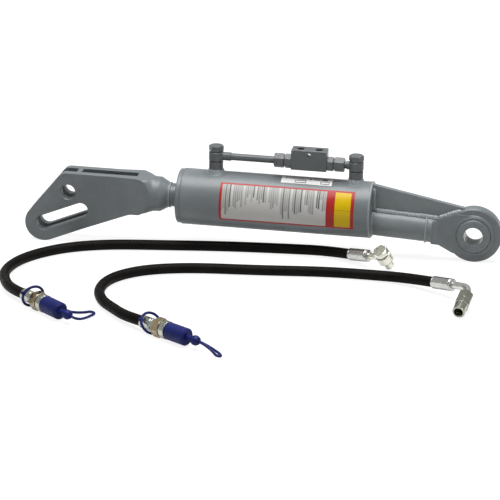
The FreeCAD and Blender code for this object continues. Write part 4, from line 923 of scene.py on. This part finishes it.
@dataclass
class Dresser:
    """Keeps the finishes, and puts them on solids and new pieces."""

    made: dict[str, Material] = field(default_factory=dict)

    def material(self, finish: Finish) -> Material:
        """Builds a finish once.

        Args:
            finish: The finish.

        Returns:
            Its material.
        """
        if finish.name not in self.made:
            self.made[finish.name] = finish.material()
        return self.made[finish.name]

    def solids(self, finish: Finish, *nodes: str) -> None:
        """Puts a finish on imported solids, through their own material slots.

        Args:
            finish: The finish.
            *nodes: Names of the solids.
        """
        for node in nodes:
            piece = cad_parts[node]
            if not piece.material_slots:
                piece.data.materials.append(None)
            for slot in piece.material_slots:
                slot.material = self.material(finish)
            LOG.info("solid %s: %s", node, finish.name)

    def piece(
        self,
        name: str,
        grid: np.ndarray,
        finish: Finish,
        body: str,
        slot: str,
        *nodes: str,
        **shape: object,
    ) -> Piece:
        """Makes a new piece, finishes it and gives it its place in the frame.

        Args:
            name: The piece's name.
            grid: Its points in metres.
            finish: Its finish.
            body: The body that it rides on.
            slot: The record's material slot; not used.
            *nodes: Solids that it stands for.
            **shape: How sheet_mesh joins the grid.

        Returns:
            The new object.
        """
        piece = sheet_mesh(name, grid, **shape)
        piece.data.materials.append(self.material(finish))
        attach(piece, body)
        if nodes:
            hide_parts(*nodes)
        LOG.info("piece %s on %s: %s", name, body, finish.name)
        return piece


@dataclass
class LiftArm:
    """The arm's own solids, and what is too soft or fine for them: runs, black rings where the ball
    meets the eye, and the painted shade of a seam.
    """

    dresser: Dresser
    socket: float = 32.15
    joint_line: float = 0.45
    joint_line_at: float = 14.3
    ball_radius: float = 32.0
    ball_edge: float = 14.0
    ball_crown: float = 18.4
    bore: float = 16.0
    bore_lip: float = 0.8
    fork_neck: Run = Run((119.5, 157.0, 60), 154.0, 33.0, 29.65, 0.0, 29.7, 1.6, 8.0)
    bar_root: Run = Run((80.0, 56.0, 50), 79.0, 21.0, 23.15, -10.0, 23.15, -0.25, 5.0)
    cheek_half: float = 21.88
    cheek_spread: float = 7.0
    cheek_start: float = 66.7
    cheek_length: float = 67.3
    cheek_lean: float = 1.711
    seam_at: float = 198.3
    seam_radius: float = 46.95
    seam: float = 0.6

    def build(self) -> None:
        """Makes the black rings that show between ball and eye, the ball, both runs and the seam's
        painted shade.

        The fork's run stays just under the fork's slanted cheeks: half its width is held to
        the cheek's half width, which grows evenly along a line that leans with the height.
        """
        # Black rings drawn where the ball's faces meet the eye's socket, one on each side.
        ring = math.sqrt(self.socket**2 - self.joint_line_at**2)
        for side, name in ((-1.0, "ball_joint_line_near"), (1.0, "ball_joint_line_far")):
            middle = (REAR.eye[0], side * self.joint_line_at, REAR.eye[2])
            line = hoop(middle, Axis.ACROSS.value, ring, self.joint_line, circle(96))
            self.add(name, line, BLACK, "barrel", "black_rubber", round_rows=True)
        ball = self.ball()
        self.add(
            "swivel_ball_crowned", ball, BALL_PAINT, "ball", "bare_steel", "swivel_ball",
            round_rows=True,
        )
        neck = self.fork_neck.grid((0.0, 0.0, 0.0), (1.0, 0.0, 0.0))
        forward = neck[..., 0] - neck[..., 2] / self.cheek_lean - self.cheek_start
        cheek = self.cheek_half + self.cheek_spread * forward / self.cheek_length
        neck[..., 1] = np.clip(neck[..., 1], -cheek, cheek)
        self.add("fork_neck_run", neck, ROUGH_PAINT, "rod", "grey_paint")
        root = self.bar_root.grid(REAR.eye, REAR.back)
        self.add("bar_root_run", root, ROUGH_PAINT, "barrel", "grey_paint")
        # A thin nearly black ring where the gland meets the tube: painted shade of the seam between
        # them.
        front = (self.seam_at, 0.0, 0.0)
        seam = hoop(front, (1.0, 0.0, 0.0), self.seam_radius, self.seam, circle(120))
        self.add("gland_seam_shade", seam, SEAM_SHADE_PAINT, "barrel", "grey_paint", round_rows=True)

    def add(self, name: str, grid: np.ndarray, *place: object, **shape: object) -> None:
        """Makes a piece from points in the arm's own frame."""
        self.dresser.piece(name, STANCE.place(grid), *place, **shape)

    def ball(self) -> np.ndarray:
        """Turns the ball, with its faces crowned towards the bore, about the pin's line.

        The profile is the sphere's arc, radius^2 = 32^2 - y^2, then a quarter of an ellipse
        from there in to the bore's rounded edge, then the bore.

        Returns:
            The grid of its points, in arm millimetres.
        """
        arc = np.linspace(-self.ball_edge, self.ball_edge, 41)
        sphere = np.sqrt(self.ball_radius**2 - arc**2)
        mouth = self.bore + self.bore_lip
        bend = np.linspace(0, math.pi / 2, 24)[1:]
        reach = mouth + (sphere[-1] - mouth) * np.cos(bend) ** 0.8
        face = self.ball_edge + (self.ball_crown - self.ball_edge) * np.sin(bend)
        turn_in = np.linspace(0, math.pi / 2, 7)[1:]
        lip = self.ball_crown - self.bore_lip * (1 - np.cos(turn_in))
        lip_reach = self.bore + self.bore_lip * (1 - np.sin(turn_in))
        inner = np.linspace(lip[-1], -lip[-1], 9)[1:-1]
        stations = np.concatenate([arc, face, lip, inner, -lip[::-1], -face[::-1]])
        bore = np.full(len(inner), self.bore)
        radii = np.concatenate([sphere, reach, lip_reach, bore, lip_reach[::-1], reach[::-1]])
        return lathed(REAR.eye, Axis.ACROSS.value, stations, radii, 120)

    def dress(self) -> None:
        """Puts the finishes on the arm's solids."""
        self.dresser.solids(ROUGH_PAINT, "fork", "ball_eye")
        self.dresser.solids(TUBE_PAINT, "cylinder_tube", "gland", "end_cap")
        self.dresser.solids(PAINT, "rear_bar", "gusset_plate")
        self.dresser.solids(SMALL_PAINT, "port_boss_front", "port_boss_rear")
        self.dresser.solids(BALL_PAINT, "swivel_ball")
        self.dresser.solids(CHROME, "piston_rod")
        self.dresser.solids(STEEL, "piston", "piston_nut", "check_poppet")
        self.dresser.solids(SEAL, "piston_seal", "piston_guide_band", "rod_wiper", "rod_seal")
        self.dresser.solids(BLACK, "gland_o_ring")


@dataclass
class WeldSeams:
    """Rippled weld beads in place of the plain ones, in arm millimetres."""

    dresser: Dresser
    cap_face: float = 521.0
    tube_end: float = 517.5
    root_seam: float = 80.0
    fork_nose: float = 174.6
    flare: float = 57.0
    half_plate: float = 4.75
    ports: tuple[float, float] = (252.0, 490.0)
    tube_radius: float = 47.5
    boss_bore: float = 12.05
    boss_top: float = 53.3
    collar_foot: float = 16.6
    collar_fall: float = 4.4
    plate_top: float = 41.0
    eye_top: tuple[float, float] = (671.0, 12.5)

    def ripples(self, along: np.ndarray, radius: float, pitch: float) -> np.ndarray:
        """Radius of a bead: its mean, a ripple of one weave per pitch and a slow swell.

        Args:
            along: Distances along the bead.
            radius: Mean radius.
            pitch: Length of one weave.

        Returns:
            One radius per distance.
        """
        weave = 0.17 * np.abs(np.sin(math.pi * along / pitch)) ** 0.7
        swell = 0.07 * np.sin(along / 11.0) + 0.06 * np.sin(along / 4.3 + 1.0)
        return radius * (0.90 + weave + swell)

    def straight(self, start: Point, stop: Point, radius: float, reference: Axis) -> np.ndarray:
        """Makes one straight bead with rounded ends.

        Args:
            start: First point.
            stop: Last point.
            radius: Mean radius.
            reference: Direction for the section.

        Returns:
            The grid of its points.
        """
        first, last = np.array(start), np.array(stop)
        share = np.linspace(0, 1, 240)
        length = float(np.linalg.norm(last - first))
        along = share * length
        ends = np.sqrt(np.clip(np.minimum(along, length - along) / radius, 0.02, 1.0))
        path = first + share[:, None] * (last - first)
        return swept(path, self.ripples(along, radius, 4.3) * ends, 20, reference)

    def ring(
        self, centre: Point, axis: Point, radius: float, bead: float, gap: float
    ) -> np.ndarray:
        """Makes a bead round a bar.

        Args:
            centre: Middle of the ring.
            axis: Direction of the bar.
            radius: Radius of the bead's centre line.
            bead: The bead's own radius.
            gap: Half of the open angle at the top, or 0 for a whole ring.

        Returns:
            The grid of its points.
        """
        stop = 2 * math.pi - gap
        around = math.pi / 2 + np.linspace(gap, stop, 420, endpoint=gap > 0)
        return hoop(centre, axis, radius, self.ripples(around * radius, bead, 4.1), around, 14)

    def collar(self, station: float) -> np.ndarray:
        """Makes the weld round one port boss.

        A point's radius falls from 16.6 at the tube to 12.2 at the boss, and its height rises
        from the tube's surface, sqrt(R^2 - y^2), to the top of the weld, along a hollow curve.
        The inner wall goes back down along the boss.

        Args:
            station: Where the boss stands along the tube.

        Returns:
            The grid of its points.
        """
        step, turn = np.meshgrid(np.linspace(0, 1, 12), circle(120), indexing="ij")
        wave = 0.35 * np.abs(np.sin(turn * 14.0)) + 0.3 * np.sin(turn * 3.0 + station)
        radius = self.collar_foot - self.collar_fall * np.sqrt(step) + wave * np.sin(math.pi * step)
        y = radius * np.sin(turn)
        low = np.sqrt(self.tube_radius**2 - y**2) - 0.3
        top = self.boss_top + 0.1 + 0.25 * np.sin(turn * 5.0)
        height = low + (top - low) * step**1.15
        outer = np.stack([station + radius * np.cos(turn), y, height], axis=-1)
        inner = outer[::-1].copy()
        inner[..., 0] = station + self.boss_bore * np.cos(turn)
        inner[..., 1] = self.boss_bore * np.sin(turn)
        inner[..., 2] = np.minimum(inner[..., 2], self.boss_top)
        return np.concatenate([outer, inner])

    def add(self, name: str, grid: np.ndarray, body: str, *nodes: str, **shape: object) -> None:
        """Makes a bead with the arm's grey paint made lighter, as painted highlight on the beads.
        """
        place = STANCE.place(grid)
        self.dresser.piece(name, place, WELD_HIGHLIGHT_PAINT, body, "grey_paint", *nodes, **shape)

    def build(self) -> None:
        """Makes every bead and puts it in place of its plain solid."""
        tube_line = (1.0, 0.0, 0.0)
        end = (self.tube_end + 0.9, 0.0, 0.0)
        head = REAR.along((self.cap_face - REAR.eye[0]) / REAR.back[0])
        seam = REAR.along(self.root_seam)
        for name, centre, line, radius, bead, gap in (
            ("weld_tube_end", end, tube_line, 46.2, 1.9, 0.0),
            ("weld_bar_head", head, REAR.back, REAR.bar_radius + 0.6, 2.3, 0.55),
            ("weld_bar_root", seam, REAR.back, REAR.bar_radius + 0.2, 1.8, 0.45),
        ):
            grid = self.ring(centre, line, radius, bead, gap)
            self.add(name, grid, "barrel", "barrel_welds", round_rows=gap == 0.0)
        nose = self.ring((self.fork_nose, 0.0, 0.0), tube_line, 20.9, 1.3, 0.0)
        self.add("weld_fork_nose", nose, "rod", round_rows=True)
        self.gusset()
        for number, station in enumerate(self.ports):
            name, grid = f"weld_port_{number + 1}", self.collar(station)
            self.add(name, grid, "barrel", "port_boss_welds", round_rows=True)

    def gusset(self) -> None:
        """Makes the beads on both sides of the gusset plate."""
        slope = math.tan(REAR.tilt)
        rise = REAR.bar_radius - 1.4
        near_eye = self.flare + 2.0
        low_x = REAR.eye[0] - near_eye * math.cos(REAR.tilt) + rise * math.sin(REAR.tilt)
        low_z = REAR.eye[2] + near_eye * math.sin(REAR.tilt) + rise * math.cos(REAR.tilt)
        start_x = self.cap_face + 2.0
        start_z = low_z + (low_x - start_x) * slope
        for label, sign in (("near", -1.0), ("far", 1.0)):
            y = sign * (self.half_plate + 1.6)
            start, low = (start_x, y, start_z), (low_x, y, low_z)
            corner, cap_top = (start_x, y, start_z - 1.0), (self.cap_face + 1.2, y, self.plate_top)
            inner, eye_top = (low_x - 3.0, y, low_z - 0.6), (self.eye_top[0], y, self.eye_top[1])
            for part, first, last, radius, reference in (
                ("bar", start, low, 4.8, Axis.UP),
                ("face", corner, cap_top, 3.2, Axis.ACROSS),
                ("eye", inner, eye_top, 4.6, Axis.UP),
            ):
                grid = self.straight(first, last, radius, reference)
                self.add(f"weld_gusset_{part}_{label}", grid, "barrel", "gusset_welds")


@dataclass
class PortLine:
    """Banjos, pipes and the valve block on top of the tube: solids with their finishes."""

    dresser: Dresser

    def dress(self) -> None:
        """Puts small-part paint on the fittings, and nearly black paint on the washers as painted
        shade in the gaps at them.
        """
        self.dresser.solids(
            SMALL_PAINT,
            "banjo_front", "banjo_rear", "banjo_bolt_front", "banjo_bolt_rear",
            "pipe_long", "pipe_short", "pipe_nuts", "valve_fitting_front",
            "valve_fitting_rear", "valve_block",
        )
        self.dresser.solids(SEAM_SHADE_PAINT, "banjo_washers")


@dataclass
class Stickers:
    """Curved printed films on the near side of the tube, with nothing written on them."""

    dresser: Dresser
    radius: float = 47.6
    thickness: float = 0.25
    main: Box = (266.0, 494.0, -28.0, 54.0)
    small: Box = (366.0, 452.0, 65.0, 89.0)
    rows: int = 60
    columns: int = 48

    def film(self, name: str, node: str, finish: Finish, extent: Box) -> None:
        """Bends a film round the tube.

        A point is (x, -r cos a, r sin a), with a from the low to the high angle; r is the
        film's own face, and then the tube's surface under it, on the way back.

        Args:
            name: The piece's name.
            node: The solid that it stands for.
            finish: Its finish.
            extent: Where it starts and stops along the tube, then its lowest and highest
                angle above the near side, in degrees.
        """
        start, stop, low, high = extent
        angles = np.radians(np.linspace(low, high, self.columns))
        radii = np.repeat([self.radius + self.thickness, self.radius], self.columns)
        along, angle = np.meshgrid(
            np.linspace(start, stop, self.rows), np.concatenate([angles, angles[::-1]]),
            indexing="ij",
        )
        grid = np.stack([along, -radii * np.cos(angle), radii * np.sin(angle)], axis=-1)
        uv_size = (1.0, 2.0 * self.columns / (self.columns - 1))
        self.dresser.piece(
            name, STANCE.place(grid), finish, "barrel", "sticker_film", node, uv_size=uv_size
        )

    def build(self) -> None:
        """Makes both films."""
        self.film("sticker_main_film", "sticker_main", MAIN_FILM, self.main)
        self.film("sticker_small_film", "sticker_small", SMALL_FILM, self.small)


@dataclass
class Hose:
    """One loose hose with its crimped ferrules, and the strap of its dust cap."""

    dresser: Dresser
    letter: str
    route: np.ndarray
    strap_route: np.ndarray
    outlet: Point
    coupler_axis: Point
    fittings: tuple[str, ...]
    length: float
    strap_length: float
    ferrule_start: float
    ferrule_length: float
    tab: tuple[Point, Point]
    crimp_start: float = 5.0
    crimp_length: float = 24.0
    crimp_radius: float = 10.4
    flat_depth: float = 0.5
    groove_depth: float = 0.7
    mouth: float = 8.75
    tab_size: Point = (5.2, 3.0, 1.9)
    radius: float = 0.0087
    strap_radius: float = 0.0022

    def ferrule(
        self, name: str, origin: np.ndarray, toward: np.ndarray, length: float,
        finish: Finish, node: str,
    ) -> Piece:
        """Makes a crimped ferrule with eight long pressed flats and a lip at its far end.

        The radius is 10.4 mm, less 0.5 mm times |cos 4a|^2 along the flats, less a groove
        before the lip, and it rounds off at both ends like a quarter circle.

        Args:
            name: The piece's name.
            origin: Its end at the hose, in metres.
            toward: Direction to its other end.
            length: Its length in mm.
            finish: Its finish.
            node: The solid that it stands for.

        Returns:
            The new piece.
        """
        stations = np.linspace(0, length, 120)
        step, turn = np.meshgrid(stations, circle(96), indexing="ij")
        flats = 1 / (1 + np.exp(-(step - 2.0) * 2.5)) / (1 + np.exp((step - length + 4.5) * 2.5))
        groove = self.groove_depth * np.exp(-(((step - length + 3.2) / 0.7) ** 2))
        radius = self.crimp_radius - self.flat_depth * flats * np.cos(4 * turn) ** 2 - groove
        lip = np.clip(np.minimum(step, length - step) / 0.9, 0.0, 1.0)
        radius = radius - 1.0 * (1 - np.sqrt(1 - (1 - lip) ** 2))
        radius[0] = self.mouth
        grid = lathed(tuple(origin), tuple(toward), stations * MM, radius * MM, 96)
        return self.dresser.piece(name, grid, finish, "barrel", "zinc_steel", node)

    def build(self) -> None:
        """Makes the hose, its ferrules, the strap and the tab on the strap's ring."""
        letter = self.letter
        path = smooth_line(f"hose_{letter}", self.route)
        outward = unit(np.array(self.outlet) - self.route[0])
        onward = unit(np.array(self.coupler_axis))
        first = self.route[0] + outward * self.ferrule_start * MM
        last = self.route[-1] + onward * self.crimp_start * MM
        cover = np.concatenate([[first + outward * MM], path, [last + onward * MM]])
        hose = self.dresser.piece(
            f"hose_{letter}_cover", swept(cover, np.full(len(cover), self.radius), 40), HOSE,
            "barrel", "black_rubber", f"hose_{letter}",
            uv_size=(line_length(cover), 2 * math.pi * self.radius),
        )
        ferrule = self.ferrule(
            f"ferrule_{letter}", first, outward, self.ferrule_length, ZINC,
            f"hose_{letter}_ferrule",
        )
        crimp = self.ferrule(
            f"crimp_{letter}", last, onward, self.crimp_length, CRIMP,
            f"coupler_ferrule_{letter}",
        )
        strap_path = smooth_line(f"strap_{letter}", self.strap_route)
        strap_grid = swept(strap_path, np.full(len(strap_path), self.strap_radius), 20)
        strap = self.dresser.piece(
            f"strap_{letter}_cord", strap_grid, BLUE, f"cap_{letter}", "blue_plastic",
            f"strap_{letter}",
        )
        self.ring_tab()

    def ring_tab(self) -> None:
        """Makes the small flat tab on the strap's ring.

        A point is the tab's middle plus 5.2 mm cos b outwards, 3 mm sin b cos a along the
        ring and 1.9 mm sin b sin a across it.
        """
        middle, outward = (np.array(vector) for vector in self.tab)
        across = unit(np.cross(outward, np.array(Axis.UP.value)))
        along = np.cross(outward, across)
        rows = np.linspace(0.02, math.pi - 0.02, 24)
        bend, turn = np.meshgrid(rows, circle(24), indexing="ij")
        reach, width, thick = self.tab_size
        shares = (
            (reach * np.cos(bend), outward),
            (width * np.sin(bend) * np.cos(turn), along),
            (thick * np.sin(bend) * np.sin(turn), across),
        )
        grid = middle + sum(share[..., None] * direction for share, direction in shares)
        name = f"strap_ring_tab_{self.letter}"
        self.dresser.piece(name, grid * MM, BLUE, "barrel", "blue_plastic")

    def dress(self) -> None:
        """Puts the finishes on the coupler, the dust cap and the strap's ring."""
        origin = tuple(float(value) for value in self.route[-1])
        axis = tuple(float(value) for value in unit(np.array(self.coupler_axis)))
        plate = PlatedCoupler(f"coupler_plate_{self.letter}", origin, axis)
        self.dresser.solids(plate, f"coupler_{self.letter}")
        self.dresser.solids(BLUE, f"dust_cap_{self.letter}", f"strap_ring_{self.letter}")


@dataclass
class Studio:
    """White floor, soft lamps and the camera at the photograph's angle."""

    azimuth: float = 10.343
    elevation: float = 19.823
    roll: float = -0.27
    distance: float = 4.75867
    look: Point = (-0.0204, 0.0, -0.00476)
    lens: float = 201.6
    glossy_share: float = 0.5
    floor_reach: float = 14.0
    floor_height: float = -0.0005
    floor_tone: float = 0.62
    floor_seen: float = 0.22
    floor_white: float = 0.88
    world_white: float = 0.96
    sky_light: float = 0.04

    def camera(self) -> None:
        """Places the camera: back from the look point, then rolled about its own line."""
        turn, lift = math.radians(self.azimuth), math.radians(self.elevation)
        back = Vector(
            (math.sin(turn) * math.cos(lift), -math.cos(turn) * math.cos(lift), math.sin(lift))
        )
        right = Vector((math.cos(turn), math.sin(turn), 0.0))
        up = back.cross(right)
        roll = math.radians(self.roll)
        tipped = right * math.cos(roll) + up * math.sin(roll)
        upright = up * math.cos(roll) - right * math.sin(roll)
        data = bpy.data.cameras.new("camera")
        data.lens = self.lens
        data.sensor_width = 36.0
        data.clip_end = 60.0
        camera = bpy.data.objects.new("camera", data)
        bpy.context.scene.collection.objects.link(camera)
        turned = Matrix((tipped, upright, back)).transposed().to_4x4()
        turned.translation = Vector(self.look) + back * self.distance
        camera.matrix_world = turned
        bpy.context.scene.camera = camera

    def lamp(
        self, name: str, place: Point, aim: Point, size: tuple[float, float], power: float
    ) -> None:
        """Adds one soft rectangular lamp.

        Args:
            name: The lamp's name.
            place: Where it hangs.
            aim: The point it faces.
            size: Its width and height in metres.
            power: Its power in watts.
        """
        data = bpy.data.lights.new(name, "AREA")
        data.shape = "RECTANGLE"
        data.size, data.size_y = size
        data.energy = power
        lamp = bpy.data.objects.new(name, data)
        bpy.context.scene.collection.objects.link(lamp)
        lamp.location = place
        lamp.rotation_euler = (Vector(aim) - Vector(place)).to_track_quat("-Z", "Y").to_euler()

    def shown_white(self, shade: Shading, lit: Node, strength: float) -> Socket:
        """Adds white for rays from the camera, and a part of it for those off glossy surfaces.

        Args:
            shade: Helper of the floor's or world's tree.
            lit: Shader that the other rays see.
            strength: Brightness of the white.

        Returns:
            The mixed shader.
        """
        rays = shade.add("ShaderNodeLightPath").outputs
        glossy = shade.times(rays["Is Glossy Ray"], self.glossy_share)
        seen = shade.sums("MAXIMUM", rays["Is Camera Ray"], glossy)
        seen = shade.sums("MAXIMUM", seen, rays["Is Transmission Ray"])
        white = shade.add("ShaderNodeEmission", {"Strength": shade.times(seen, strength)})
        return shade.add("ShaderNodeAddShader", {0: lit.outputs[0], 1: white.outputs[0]}).outputs[0]

    def floor(self) -> None:
        """Makes the white floor, which the camera sees darker by itself than other rays do."""
        mesh = bpy.data.meshes.new("floor")
        far, level = self.floor_reach, self.floor_height
        corners = [(-far, -far, level), (far, -far, level), (far, far, level), (-far, far, level)]
        mesh.from_pydata(corners, [], [(0, 1, 2, 3)])
        floor = bpy.data.objects.new("floor", mesh)
        bpy.context.scene.collection.objects.link(floor)
        material = bpy.data.materials.new("floor_white")
        material.use_nodes = True
        material.node_tree.nodes.clear()
        shade = Shading(material.node_tree)
        direct = shade.add("ShaderNodeLightPath").outputs["Is Camera Ray"]
        lit, seen = ((tone, tone, tone, 1.0) for tone in (self.floor_tone, self.floor_seen))
        tone = shade.blend(direct, lit, seen)
        matt = shade.add("ShaderNodeBsdfDiffuse", {"Color": tone})
        surface = self.shown_white(shade, matt, self.floor_white)
        shade.add("ShaderNodeOutputMaterial", {"Surface": surface})
        mesh.materials.append(material)

    def build(self) -> None:
        """Makes the floor, the world's light, the lamps and the camera."""
        scene = bpy.context.scene
        scene.view_settings.view_transform = "Standard"
        self.floor()
        world = bpy.data.worlds.new("studio")
        scene.world = world
        world.use_nodes = True
        world.node_tree.nodes.clear()
        shade = Shading(world.node_tree)
        colour = tint((0.96, 0.98, 1.0))
        sky = shade.add("ShaderNodeBackground", {"Color": colour, "Strength": self.sky_light})
        surface = self.shown_white(shade, sky, self.world_white)
        shade.add("ShaderNodeOutputWorld", {"Surface": surface})
        self.lamp("top_softbox", (0.1, -0.1, 2.6), (0.0, 0.0, 0.05), (2.6, 1.7), 122.0)
        self.lamp("right_softbox", (1.7, -1.5, 0.75), (0.1, 0.0, 0.05), (1.0, 0.8), 5.0)
        self.lamp("left_strip", (-2.4, -1.2, 1.2), (0.0, 0.0, 0.05), (0.7, 1.8), 1.0)
        self.camera()


HOSE_A_ROUTE = np.array([
    (155.0, -44.0, 14.5), (116.0, -22.4, 10.0), (52.2, -20.0, 8.8), (-55.3, -24.9, 8.8),
    (-164.8, -37.5, 8.8), (-253.0, -48.0, 8.8), (-317.3, -72.3, 8.8), (-360.1, -109.0, 8.8),
    (-387.3, -151.8, 8.8), (-396.1, -202.4, 8.8), (-386.0, -243.0, 9.5), (-361.5, -294.3, 13.4),
    (-334.3, -317.9, 15.0),
]) * MM
HOSE_B_ROUTE = np.array([
    (307.5, -160.0, 17.0), (270.0, -135.5, 11.6), (214.7, -123.6, 9.0), (128.9, -119.7, 8.8),
    (20.2, -131.3, 8.8), (-78.2, -136.3, 8.8), (-141.1, -149.6, 8.8), (-186.2, -173.1, 8.8),
    (-217.5, -213.0, 8.8), (-223.2, -265.0, 8.8), (-205.4, -313.9, 9.5), (-180.3, -345.5, 10.6),
    (-151.4, -383.6, 13.4), (-121.6, -403.7, 15.0),
]) * MM
STRAP_A_ROUTE = np.array([
    (-235.4, -402.4, 15.0), (-228.0, -408.4, 13.8), (-220.5, -399.2, 9.2), (-216.5, -383.5, 5.2),
    (-211.5, -367.5, 3.2), (-206.7, -353.6, 2.5), (-215.6, -346.0, 2.5), (-226.1, -352.6, 2.5),
    (-238.3, -355.0, 2.5), (-252.9, -351.9, 2.5), (-270.9, -339.2, 2.5), (-284.3, -326.6, 2.7),
    (-295.2, -321.6, 5.6), (-300.5, -325.8, 9.9),
]) * MM
STRAP_B_ROUTE = np.array([
    (-13.7, -476.5, 15.0), (-6.5, -481.3, 14.0), (1.8, -485.7, 10.5), (10.8, -492.7, 6.5),
    (17.2, -501.4, 3.9), (25.4, -500.4, 2.7), (21.8, -490.4, 2.5), (11.6, -477.5, 2.5),
    (-3.9, -459.6, 2.5), (-20.1, -444.3, 2.5), (-38.0, -429.9, 2.5), (-57.0, -415.3, 2.5),
    (-70.6, -403.9, 2.9), (-82.4, -399.2, 6.6), (-87.6, -403.7, 10.6),
]) * MM


def main() -> None:
    """Builds the studio and every sub-assembly in order."""
    logging.basicConfig(level=logging.INFO, format="%(name)s: %(message)s", stream=sys.stdout)
    dresser = Dresser()
    Studio().build()
    hose_a = Hose(
        dresser, "a", HOSE_A_ROUTE, STRAP_A_ROUTE,
        outlet=(0.2202, -0.0803, 0.025), coupler_axis=(0.7604, -0.6494, 0.0),
        fittings=("hose_a_banjo", "hose_a_bolt", "hose_a_washers", "coupler_a"),
        length=0.771, strap_length=0.172, ferrule_start=4.0, ferrule_length=38.5,
        tab=((-325.2, -350.1, 28.2), (-0.645, -0.624, 0.441)),
    )
    hose_b = Hose(
        dresser, "b", HOSE_B_ROUTE, STRAP_B_ROUTE,
        outlet=(0.3745, -0.2037, 0.027), coupler_axis=(0.829, -0.5592, 0.0),
        fittings=("hose_b_elbow", "hose_b_swivel_nut", "hose_b_adapter", "coupler_b"),
        length=0.784, strap_length=0.2, ferrule_start=6.0, ferrule_length=40.5,
        tab=((-117.0, -422.6, 23.7), (-0.8, -0.434, 0.415)),
    )
    for hose in (hose_a, hose_b):
        hose.build()
        hose.dress()
    dresser.solids(PALE_ZINC, "hose_a_banjo", "hose_a_bolt")
    dresser.solids(WASHER, "hose_a_washers")
    dresser.solids(BENT_ZINC, "hose_b_elbow")
    dresser.solids(DULL_ZINC, "hose_b_swivel_nut", "hose_b_adapter")
    arm = LiftArm(dresser)
    arm.build()
    arm.dress()
    WeldSeams(dresser).build()
    PortLine(dresser).dress()
    Stickers(dresser).build()
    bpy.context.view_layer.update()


if __name__ == "__main__":
    main()
